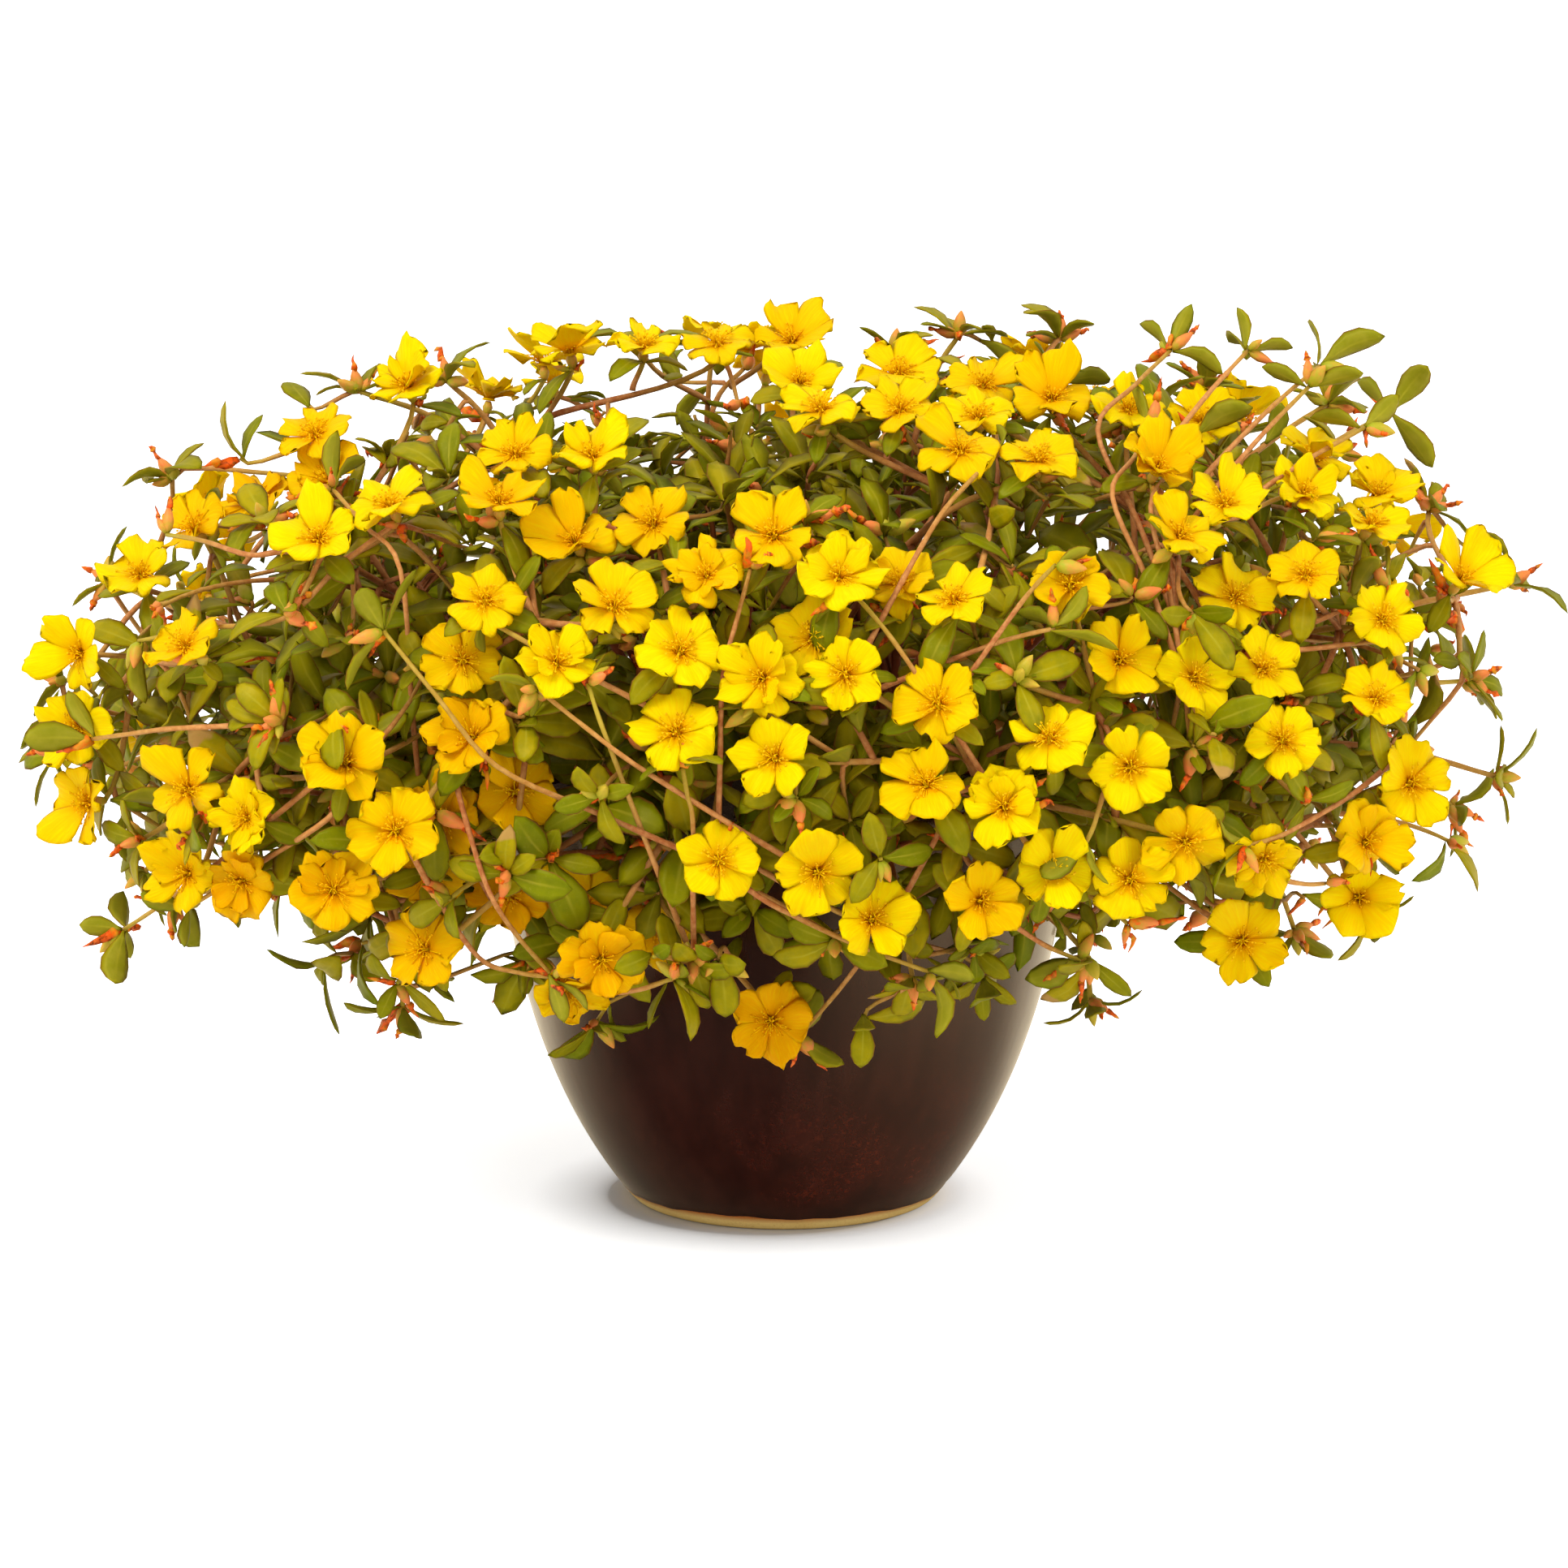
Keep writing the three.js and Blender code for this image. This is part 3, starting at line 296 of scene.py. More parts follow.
CRUMB_RADII = (0.35, 0.6, 0.55, 0.3)
PLAIN_TINT = (0.5, 0.5, 0.5, 1)

# The studio, in metres.
FRONT_DIM = 0.12  # how bright reflections find its front, as a share of its sides
FRONT_SKEW = 0.34  # how far that front turns to the left
FRONT_FADE = (-0.9, 0.1)
PAINTED_SIDE_REFLECTION = 0.55  # painted reflection: how much brighter they find the floor glowing beside and behind the pot
SIDE_MIDDLE = -0.09  # across, between the two sides; they begin and end at the next
SIDE_FADE = (0.08, 0.5)
BACK_FADE = (-0.08, 0.1)
STUDIO_WARMTH = (1, 0.86, 0.62, 1)  # the colour that reflections find the studio in
WHITE = (1, 1, 1, 1)
FLOOR_HALF_WIDTH = 30
FLOOR_GLOW = 0.6  # light from under the floor, as on a lit table
FLOOR_WHITES = ((0.93, 0.93, 0.93, 1), (0.95, 0.95, 0.95, 1))
# painted reflection: the floor's colour where reflections find it dark, before the pot
PAINTED_DARK_REFLECTION = (0.03, 0.03, 0.03, 1)
PAINTED_SHADOW_MIDDLE = (-0.008, -0.005, 0)  # painted shadow: the floor's glow fades out round the pot's foot, about this middle
PAINTED_SHADOW_FADE = (0.062, 0.094)
PAINTED_CONTACT_SHADOW = (0.42, 0.42, 0.43, 1)  # painted shadow: the floor's grey close under the pot's foot
PAINTED_CONTACT_SHADOW_FADE = (0.058, 0.076)
LIGHT_AIM = (0, 0, 0.2)
LIGHT_SIZE = 1.4
LIGHTS = (("key", (-1.3, -1.5, 2.3), 60), ("fill", (1.9, -1.2, 1.3), 18))  # name, place, power
CAMERA_AIM = (0, 0, 0.165)
CAMERA_LENS = 115.5  # millimetres, as is the sensor
CAMERA_SENSOR = 36


# --- Small helpers ---

def draw(*keys):
    """A repeatable draw between 0 and 1 from whole numbers, the same as the frame's."""
    bits = SEED
    for key in keys:
        bits = (bits ^ (key + 0x9E3779B9)) & 0xFFFFFFFF
        bits = bits * 0x85EBCA6B & 0xFFFFFFFF
        bits ^= bits >> 13
        bits = bits * 0xC2B2AE35 & 0xFFFFFFFF
        bits ^= bits >> 16
    return bits / 2 ** 32


def mix(start, end, share):
    return start + (end - start) * share


def clamp(value, low=0.0, high=1.0):
    return max(low, min(high, value))


def short_way(turn):
    """A turn brought to within half a turn either way."""
    return math.atan2(math.sin(turn), math.cos(turn))


def array(vector):
    return np.array(vector[:])


def polar(turn, reach, height):
    return Vector((reach * math.cos(turn), reach * math.sin(turn), height))


def level_way(point):
    """The level direction from the pot's axis to a point."""
    return Vector((point.x, point.y, 0)).normalized()


def straight(base, way, steps):
    """The points at steps along a way, as rows."""
    return np.array([(base + way * step)[:] for step in steps])


def ring_turns(sides):
    return np.arange(sides) / sides * TURN


def unit_rows(rows):
    lengths = np.linalg.norm(rows, axis=-1, keepdims=True)
    return rows / np.maximum(lengths, 1e-9)


@dataclass
class Tip:
    """The end of a stem: its place, its own directions, and what it carries."""
    centre: Vector
    axis: Vector
    plant: int
    keys: tuple
    is_bloom: bool = False
    size: float = 1
    cup: float = 0.3

    def __post_init__(self):
        guide = Vector((1, 0, 0)) if abs(self.axis.x) < 0.9 else Z.copy()
        self.right = (guide - self.axis * guide.dot(self.axis)).normalized()
        self.forward = self.axis.cross(self.right)

    def around(self, turn, reach, height):
        """The point at a turn and reach round the axis, `height` along it."""
        return self.centre + self.aside(turn) * reach + self.axis * height

    def aside(self, turn):
        return self.right * math.cos(turn) + self.forward * math.sin(turn)


# --- The mound ---

def mound_axes(point, inset):
    tall = MOUND_RISE if point.z > MOUND_MIDDLE else MOUND_DROP
    return MOUND_HALF_WIDTH - inset, MOUND_HALF_DEPTH - inset, tall - inset


def mound_level(point, inset):
    """Below 1 inside the mound, above 1 outside it."""
    wide, deep, tall = mound_axes(point, inset)
    return (abs(point.x / wide) ** MOUND_POWER + abs(point.y / deep) ** MOUND_POWER
            + abs((point.z - MOUND_MIDDLE) / tall) ** MOUND_POWER)


def mound_slope(point, inset):
    offsets = (point.x, point.y, point.z - MOUND_MIDDLE)
    return Vector([
        math.copysign(abs(value / size) ** (MOUND_POWER - 1) * MOUND_POWER / size, value)
        for value, size in zip(offsets, mound_axes(point, inset))
    ])


def outwards(point, inset=0):
    """The direction out of the mound at a point."""
    return mound_slope(point, inset).normalized()


def to_mound(point, inset):
    for _ in range(6):
        slope = mound_slope(point, inset)
        point = point + slope * ((1 - mound_level(point, inset)) / slope.length_squared)
    return point


def mound_along_view(x, z, inset):
    """Where the line from BEST_VIEW through (x, 0, z) first meets the mound, or passes nearest."""
    step = (Vector((x, 0, z)) - BEST_VIEW) / VIEW_STEPS
    nearest = None
    for i in MOUND_STEPS:
        point = BEST_VIEW + step * i
        level = mound_level(point, inset)
        if nearest is None or level < nearest[1]:
            nearest = (point, level)
        if level < 1:
            break
    return nearest[0]


def seen_at(x, z, y):
    """The point at depth `y` on the line from BEST_VIEW through (x, 0, z)."""
    return BEST_VIEW + (Vector((x, 0, z)) - BEST_VIEW) * (1 - y / BEST_VIEW.y)


def mound_at(turn, height, inset):
    point = polar(turn, 200, height)
    for _ in range(30):
        share = (1 / mound_level(point, inset)) ** 0.5
        point.x *= share
        point.y *= share
    return point


def as_seen(point):
    """Where the best side shows a point: across and up, in the plane through the pot's middle."""
    share = BEST_VIEW.y / (BEST_VIEW.y - point.y)
    return Vector((point.x * share, BEST_VIEW.z + (point.z - BEST_VIEW.z) * share))


def bareness(point):
    """How bare the growth is at a point, from 0 to 1."""
    seen = as_seen(point)
    return max(bare * clamp(2 - 2 * (seen - Vector((x, z))).length / radius)
               for x, z, radius, bare in AIRY_PLACES)


def hides_long_stem(point):
    """Whether a point lies over one of the long stems, on the best side."""
    if point.y > 0 or mound_level(point, ROUTE_DEPTH) < 1:
        return False
    seen = as_seen(point)
    for x, z, to_x, to_z in LONG_STEMS:
        way = Vector((to_x - x, to_z - z))
        off = seen - Vector((x, z))
        share = clamp(off.dot(way) / way.length_squared, 0, 0.8)
        if (off - way * share).length < ROUTE_CLEAR:
            return True
    return False


def mound_depth(point):
    """0 at the mound's surface and outside it, up to 1 in its middle."""
    return clamp(1 - mound_level(Vector(point), 0))


# --- The five plants' shares ---

def plant_turn(plant):
    return FIRST_TURN + plant * SHARE


def plant_of(point):
    turn = math.atan2(point.y, point.x) - FIRST_TURN + SHARE / 2 + TURN
    return math.floor(turn / SHARE) % PLANT_COUNT


def keep_in_share(point, plant):
    reach = math.hypot(point.x, point.y)
    most = SHARE / 2 - math.asin(min(1, SHARE_INSIDE / reach))
    off = short_way(math.atan2(point.y, point.x) - plant_turn(plant))
    kept = plant_turn(plant) + clamp(off, -most, most)
    return polar(kept, reach, point.z)


# --- Where the blooms are ---

def view_directions(x, z):
    away = (Vector((x, 0, z)) - BEST_VIEW).normalized()
    right = (Vector((1, 0, 0)) - away * away.x).normalized()
    return right, right.cross(away)


def next_place(start, turn, facing, inset):
    right, up = facing
    slope = outwards(start, inset)
    heading = right * math.cos(turn) + up * math.sin(turn)
    heading = (heading - slope * heading.dot(slope)).normalized()
    return to_mound(start + heading * SPACING, inset)


def bloom_axis(place, posy, index, inset, far):
    draws = Vector([draw(posy, index, key) for key in (1, 2, 3)])
    wander = (draws - Vector((0.5, 0.5, 0.5))) * WANDER
    towards = Vector((0, 0, 0)) if far else (BEST_VIEW - place).normalized()
    return (outwards(place, inset) + towards * TOWARDS + Z * UPWARD + wander).normalized()


def new_bloom(place, axis, keys, largest):
    """A bloom with a size and cup of its own."""
    return Tip(place, axis.normalized(), plant_of(place), keys, True,
               mix(0.92, largest, draw(*keys, 4)), mix(0.15, 0.42, draw(*keys, 5)))


def posy_blooms(posy, inset):
    """The blooms of one posy, set back into the mound by `inset`."""
    far = posy >= len(FRONT_POSIES)
    entry = BACK_POSIES[posy - len(FRONT_POSIES)] if far else FRONT_POSIES[posy]
    first, height, *turns = entry
    if far:
        facing = (Vector((-1, 0, 0)), Z)
        places = [mound_at(first * DEGREE, height, inset)]
    else:
        facing = view_directions(first, height)
        places = [mound_along_view(first, height, inset)]
    for turn in turns:
        tries = [next_place(places[-1], (turn + off) * DEGREE, facing, inset)
                 for off in OTHER_TURNS]
        before = places[:-1]
        free = [p for p in tries if all((p - other).length > LEAST_APART for other in before)]
        places.append(free[0] if free else tries[0])
    kept = [keep_in_share(place, plant_of(place)) for place in places]
    axes = [bloom_axis(place, posy, i, inset, far) for i, place in enumerate(kept)]
    mean = sum(axes, Vector((0, 0, 0))).normalized()
    return [new_bloom(place, axis * 0.55 + mean * 0.45, (posy, i), 1.08)
            for i, (place, axis) in enumerate(zip(kept, axes))]


def node_points(name):
    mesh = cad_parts[name].data
    points = np.empty(len(mesh.vertices) * 3)
    mesh.vertices.foreach_get("co", points)
    return points.reshape(-1, 3) / MM


def find_blooms(posy):
    """A posy's blooms at the set-back that the frame's node shows."""
    corners = node_points(posy_name(posy))
    found = []
    for inset in range(0, MOST_SET_BACK + 1, SET_BACK):
        blooms = posy_blooms(posy, inset)
        tops = [array(bloom.around(0, 0, TOP_HEIGHT)) for bloom in blooms]
        off = max(np.linalg.norm(corners - top, axis=1).min() for top in tops)
        found.append((off, blooms, inset))
        if off < 0.1:
            break
    return min(found, key=lambda entry: entry[0])[1:]


def posy_name(posy):
    return f"posy_{posy + 1:02d}"


def meeting(bloom, other):
    """The turn, reach and height, seen from a bloom, at which a neighbour's petals meet its own."""
    up = (bloom.axis + other.axis).normalized()
    point = (other.centre - bloom.centre) * 0.5 + up * 3
    x, y = point.dot(bloom.right), point.dot(bloom.forward)
    return math.atan2(y, x), math.hypot(x, y), point.dot(bloom.axis)


def petals_of(bloom, meetings):
    """The turn of each petal, with the meeting that it leans to or None."""
    spin = draw(*bloom.keys, 6) * TURN
    if meetings:
        x = sum(math.cos(turn * PETALS) for turn, _, _ in meetings)
        y = sum(math.sin(turn * PETALS) for turn, _, _ in meetings)
        spin = math.atan2(y, x) / PETALS
    petals = [[spin + k * TURN / PETALS, None] for k in range(PETALS)]
    for seam in meetings:
        free = [petal for petal in petals if petal[1] is None]
        petal = min(free, key=lambda petal: abs(short_way(seam[0] - petal[0])))
        petal[0] += short_way(seam[0] - petal[0])
        petal[1] = seam
    return petals


# --- Meshes ---

def add_object(name, data):
    made = bpy.data.objects.new(name, data)
    bpy.context.collection.objects.link(made)
    return made


class Shape:
    """Collects the points (mm), faces, tints and material numbers of one piece."""

    def __init__(self):
        self.points = []
        self.tints = []
        self.faces = []
        self.slots = []
        self.count = 0

    def add(self, points, faces, tints, slot=0):
        for group in faces:
            if len(group):
                self.faces += (np.asarray(group) + self.count).tolist()
                self.slots += [slot] * len(group)
        self.points.append(points)
        self.tints.append(np.broadcast_to(tints, (len(points), 4)))
        self.count += len(points)

    def make(self, name, materials, slot, replaced):
        mesh = bpy.data.meshes.new(name)
        mesh.from_pydata((np.vstack(self.points) * MM).tolist(), [], self.faces)
        tint = mesh.attributes.new("tint", "FLOAT_COLOR", "POINT")
        tint.data.foreach_set("color", np.vstack(self.tints).astype(np.float32).ravel())
        for material in materials:
            mesh.materials.append(material)
        mesh.polygons.foreach_set("material_index", self.slots)
        mesh.polygons.foreach_set("use_smooth", [True] * len(mesh.polygons))
        mesh.update()
        piece = add_object(name, mesh)
        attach(piece, "root")
        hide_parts(*replaced)


@functools.lru_cache(maxsize=None)
def blade_faces(rows, columns):
    """Faces of a thin blade: an upper grid, then a lower one that shares its border points."""
    upper = np.arange(rows * columns).reshape(rows, columns)
    lower = upper.copy()
    inner = (rows - 2) * (columns - 2)
    lower[1:-1, 1:-1] = (rows * columns + np.arange(inner)).reshape(rows - 2, columns - 2)

    def quads(grid):
        corners = (grid[:-1, :-1], grid[1:, :-1], grid[1:, 1:], grid[:-1, 1:])
        return np.stack([corner.ravel() for corner in corners], axis=1)

    return np.vstack([quads(upper)[:, ::-1], quads(lower)])


def blade_tints(u, v, blue, alpha):
    """Tints over a blade: red from base to tip, green across."""
    tints = np.empty((u.size, v.size, 4))
    for channel, value in enumerate((u, (v + 1) / 2, blue, alpha)):
        tints[..., channel] = value
    return tints


def add_blade(shape, base, ways, thickness, upper_tints, lower_tints):
    """A thin blade about a grid of points: a base, and how far they lie from it along each way."""
    middle = array(base) + sum(far[..., None] * array(way) for way, far in ways)
    rows, columns, _ = middle.shape
    normal = unit_rows(np.cross(np.gradient(middle, axis=0), np.gradient(middle, axis=1)))
    lift = np.zeros((rows, columns, 1))
    lift[1:-1, 1:-1, 0] = thickness / 2
    upper = middle + normal * lift
    lower = (middle - normal * lift)[1:-1, 1:-1]
    points = np.vstack([upper.reshape(-1, 3), lower.reshape(-1, 3)])
    colours = np.vstack([upper_tints.reshape(-1, 4), lower_tints[1:-1, 1:-1].reshape(-1, 4)])
    shape.add(points, [blade_faces(rows, columns)], colours)


@functools.lru_cache(maxsize=None)
def tube_faces(rings, sides):
    """Faces of a closed tube: a pole, its rings, and the other pole."""
    start = 1 + np.arange((rings - 1) * sides).reshape(rings - 1, sides)
    after = np.roll(start, -1, axis=1)
    quads = np.stack([start, after, after + sides, start + sides], axis=2).reshape(-1, 4)
    first = 1 + np.arange(sides)
    last = first + (rings - 1) * sides
    pole = rings * sides + 1
    near = np.stack([np.zeros(sides, int), np.roll(first, -1), first], axis=1)
    far = np.stack([np.full(sides, pole), last, np.roll(last, -1)], axis=1)
    return quads, np.vstack([near, far])


def add_tube(shape, path, radii, tints, sides, slot=0, spin=0.0):
    """A tapered closed tube along a path; radii may give one value for each side of each ring."""
    rings = len(path)
    along = unit_rows(np.gradient(path, axis=0))
    guide = np.array((1.0, 0, 0)) if abs(along[0][0]) < 0.9 else np.array((0, 0, 1.0))
    turns = ring_turns(sides) + spin
    radii = np.broadcast_to(np.reshape(radii, (rings, -1)), (rings, sides))
    points = [path[:1]]
    for i in range(rings):
        guide = guide - along[i] * guide.dot(along[i])
        guide = guide / np.linalg.norm(guide)
        across = np.cross(along[i], guide)
        ring = np.cos(turns)[:, None] * guide + np.sin(turns)[:, None] * across
        points.append(path[i] + ring * radii[i][:, None])
    points.append(path[-1:])
    rows = np.broadcast_to(tints, (rings, 4))
    colours = np.vstack([rows[:1], np.repeat(rows, sides, axis=0), rows[-1:]])
    shape.add(np.vstack(points), tube_faces(rings, sides), colours, slot)


def add_form(shape, base, way, form, tints, sides, slot=0, ribs=1):
    """A small round body along a way; `form` says how far along and how wide at each step."""
    steps, radii = np.array(form).T
    add_tube(shape, straight(base, way, steps), radii[:, None] * ribs, tints, sides, slot)


def smooth_path(points, steps):
    """A curve through the points, with `steps` steps from each to the next."""
    knots = np.array([point[:] for point in points])
    knots = np.vstack([2 * knots[0] - knots[1], knots, 2 * knots[-1] - knots[-2]])
    t = np.linspace(0, 1, steps, endpoint=False)[:, None]
    rows = []
    for a, b, c, d in zip(knots, knots[1:], knots[2:], knots[3:]):
        rows.append(0.5 * (2 * b + (c - a) * t + (2 * a - 5 * b + 4 * c - d) * t ** 2
                           + (3 * b - a - 3 * c + d) * t ** 3))
    return np.vstack([*rows, knots[-2:-1]])


def arc_path(start, start_along, end, end_along, steps):
    """A curve from one point and direction to another."""
    t = np.linspace(0, 1, steps + 1)[:, None]
    return (array(start) * (2 * t ** 3 - 3 * t ** 2 + 1)
            + array(start_along) * (t ** 3 - 2 * t ** 2 + t)
            + array(end) * (3 * t ** 2 - 2 * t ** 3) + array(end_along) * (t ** 3 - t ** 2))


# --- Materials ---

COLOURS = {  # as a screen shows them, 0 to 255
    "lemon": (248, 229, 0), "gold_shade_and_tone": (235, 154, 0), "petal_vein": (244, 178, 0),
    "petal_pale": (254, 248, 0), "petal_heart": (252, 184, 0), "petal_mottle": (250, 204, 0),
    "petal_through": (255, 200, 0),
    "stalk_foot": (255, 206, 0), "stalk_top": (255, 230, 10), "anther": (255, 228, 30),
    "gold_shade_and_tone_anther": (255, 200, 10), "pollen": (250, 190, 0), "stamen_through": (255, 214, 0),
    "olive": (126, 134, 2), "yellow_olive": (180, 158, 4), "leaf_patch": (100, 112, 2),
    "underside": (150, 148, 26), "pale_underside": (172, 162, 44), "rib": (186, 174, 44),
    "leaf_edge": (150, 88, 38), "dry_leaf": (190, 146, 76), "leaf_speckle": (158, 150, 52),
    "leaf_through": (160, 156, 0),
    "bark": (190, 128, 66), "dark_bark": (156, 86, 44), "bark_streak": (214, 160, 96),
    "young_stem": (160, 146, 32), "painted_shade_stem": (116, 40, 24), "freckle": (136, 70, 34),
    "bud_foot": (150, 156, 22), "bud_tip": (188, 158, 48), "bud_pink": (220, 122, 60),
    "withered": (222, 84, 10), "withered_brown": (124, 48, 10), "withered_tip": (236, 160, 30),
    "glaze": (43, 16, 11), "glaze_run": (55, 23, 16), "glaze_red": (84, 26, 14),
    "glaze_speck": (112, 40, 17),
    "clay": (250, 220, 140), "clay_cloud": (232, 192, 108), "flashed_clay": (186, 104, 40),
    "clay_grain": (200, 152, 84),
    "soil": (34, 24, 18), "soil_clod": (74, 54, 40), "soil_grain": (122, 100, 76),
}


def colour(name):
    """A named colour as the shader wants it."""
    return (*[value / 255 / 12.92 if value <= 10 else ((value / 255 + 0.055) / 1.055) ** 2.4
              for value in COLOURS[name]], 1)


class Nodes:
    """A node tree: short calls that add nodes and return their output sockets."""

    def __init__(self, tree):
        self.tree = tree

    def node(self, kind, inputs=(), **settings):
        node = self.tree.nodes.new(kind)
        for key, value in settings.items():
            setattr(node, key, value)
        for key, value in dict(inputs).items():
            self.put(node.inputs[key], value)
        return node

    def put(self, socket, value):
        if isinstance(value, bpy.types.NodeSocket):
            self.tree.links.new(value, socket)
        else:
            socket.default_value = value

    def coordinates(self, kind="Object"):
        return self.node("ShaderNodeTexCoord").outputs[kind]

    def axes(self, vector):
        """The X, Y and Z of a vector."""
        return self.node("ShaderNodeSeparateXYZ", {"Vector": vector}).outputs

    def reach(self, vector, middle):
        """How far a vector's place is from a middle."""
        node = self.node("ShaderNodeVectorMath", {0: vector, 1: middle}, operation="DISTANCE")
        return node.outputs["Value"]

    def maths(self, operation, first, second=0.0, third=0.0, clamped=False):
        node = self.node("ShaderNodeMath", operation=operation, use_clamp=clamped)
        for socket, value in zip(node.inputs, (first, second, third)):
            self.put(socket, value)
        return node.outputs["Value"]

    def times(self, first, second, clamped=False):
        return self.maths("MULTIPLY", first, second, clamped=clamped)

    def span(self, value, low, high, start=0.0, end=1.0):
        """The share of the way from low to high, brought to start..end."""
        return self.node("ShaderNodeMapRange", {
            "Value": value, "From Min": low, "From Max": high, "To Min": start, "To Max": end,
        }).outputs["Result"]

    def blend(self, share, first, second):
        """From the first colour to the second; each is a socket, a value or a name."""
        node = self.node("ShaderNodeMix", data_type="RGBA")
        self.put(node.inputs[0], share)
        for index, shade in ((6, first), (7, second)):
            self.put(node.inputs[index], colour(shade) if isinstance(shade, str) else shade)
        return node.outputs[2]


class Paint(Nodes):
    """A material, with the ways to lay one shade over another."""

    def __init__(self, name, roughness, specular, shine=WHITE):
        self.material = bpy.data.materials.new(name)
        self.material.use_nodes = True
        super().__init__(self.material.node_tree)
        self.shader = self.tree.nodes["Principled BSDF"]
        self.shader.inputs["Roughness"].default_value = roughness
        self.shader.inputs["Specular IOR Level"].default_value = specular
        self.shader.inputs["Specular Tint"].default_value = shine

    @functools.cached_property
    def tint(self):
        """The vertices' own tint, by channel."""
        source = self.node("ShaderNodeAttribute", attribute_name="tint").outputs
        split = self.node("ShaderNodeSeparateColor", {"Color": source["Color"]}).outputs
        return {"Alpha": source["Alpha"], **{key: split[key] for key in ("Red", "Green", "Blue")}}

    def noise(self, places, scale, detail, roughness=0.55):
        return self.node("ShaderNodeTexNoise", {
            "Vector": places, "Scale": scale, "Detail": detail, "Roughness": roughness,
        }).outputs["Fac"]

    def grain(self, scale, detail, roughness=0.55, stretch=(1, 1, 1)):
        """Noise through the piece, in its own coordinates."""
        places = self.node("ShaderNodeMapping", {"Vector": self.coordinates(), "Scale": stretch})
        return self.noise(places.outputs["Vector"], scale, detail, roughness)

    def dab(self, ground, shade, value, low, high, most=1.0):
        """The ground with a shade over it: none where the value is `low`, `most` at `high`."""
        return self.blend(self.span(value, low, high, 0, most), ground, shade)

    def cover(self, base, relief, rough=None):
        """Gives the shader its colour, a fine relief (height, strength, depth) and, where given, an
        uneven roughness (by what, from, to)."""
        self.put(self.shader.inputs["Base Color"], base)
        if rough:
            self.put(self.shader.inputs["Roughness"], self.span(rough[0], 0.3, 0.7, *rough[1:]))
        bump = self.node("ShaderNodeBump", dict(zip(("Height", "Strength", "Distance"), relief)))
        self.put(self.shader.inputs["Normal"], bump.outputs["Normal"])
        return self.material

    def let_light_through(self, shade, share):
        """Mixes in a share of light that passes through a thin blade."""
        through = self.node("ShaderNodeBsdfTranslucent", {"Color": shade})
        both = self.node("ShaderNodeMixShader", {
            0: share, 1: self.shader.outputs["BSDF"], 2: through.outputs["BSDF"],
        })
        self.put(self.tree.nodes["Material Output"].inputs["Surface"], both.outputs["Shader"])


def petal_material():
    """Red runs from base to tip, green across, blue is how far the lemon turns to gold, a painted
    shade with a random tone mixed in, alpha is the petal's draw.
    """
    paint = Paint("petal", 0.5, 0.15, (1, 0.85, 0.15, 1))
    streak = paint.node("ShaderNodeCombineXYZ", {
        axis: paint.times(paint.tint[channel], scale)
        for axis, channel, scale in (("X", "Green", 26.0), ("Y", "Red", 2.2), ("Z", "Alpha", 60.0))
    })
    veins = paint.noise(streak.outputs["Vector"], 1.0, 4.0, 0.6)
    # painted shade: lemon turns to gold by the blue tint, higher for low and set-back blooms, with
    # a random tone
    skin = paint.blend(paint.tint["Blue"], "lemon", "gold_shade_and_tone")
    skin = paint.dab(skin, "petal_vein", veins, 0.42, 0.72, 0.34)
    skin = paint.dab(skin, "petal_pale", veins, 0.5, 0.28, 0.3)
    skin = paint.dab(skin, "petal_heart", paint.tint["Red"], 0.42, 0.08, 0.75)
    skin = paint.dab(skin, "petal_mottle", paint.grain(210.0, 2.0), 0.5, 0.8, 0.22)
    paint.let_light_through(paint.blend(0.45, skin, "petal_through"), 0.4)
    return paint.cover(skin, (veins, 0.5, 0.0006), (veins, 0.42, 0.62))


def stamen_material():
    """Red runs from foot to anther, green is 1 on the anthers, blue is how far the anthers turn to
    gold, a painted shade with a random tone mixed in.
    """
    paint = Paint("stamen", 0.6, 0.15, (1, 0.78, 0.08, 1))
    grain = paint.grain(1400.0, 2.0)
    stalk = paint.blend(paint.tint["Red"], "stalk_foot", "stalk_top")
    # painted shade: the anthers turn to gold by the same share as the petals
    anther = paint.blend(paint.tint["Blue"], "anther", "gold_shade_and_tone_anther")
    skin = paint.blend(paint.tint["Green"], stalk, anther)
    skin = paint.dab(skin, "pollen", grain, 0.4, 0.7, 0.3)
    paint.let_light_through(colour("stamen_through"), 0.5)
    return paint.cover(skin, (grain, 0.4, 0.0002))


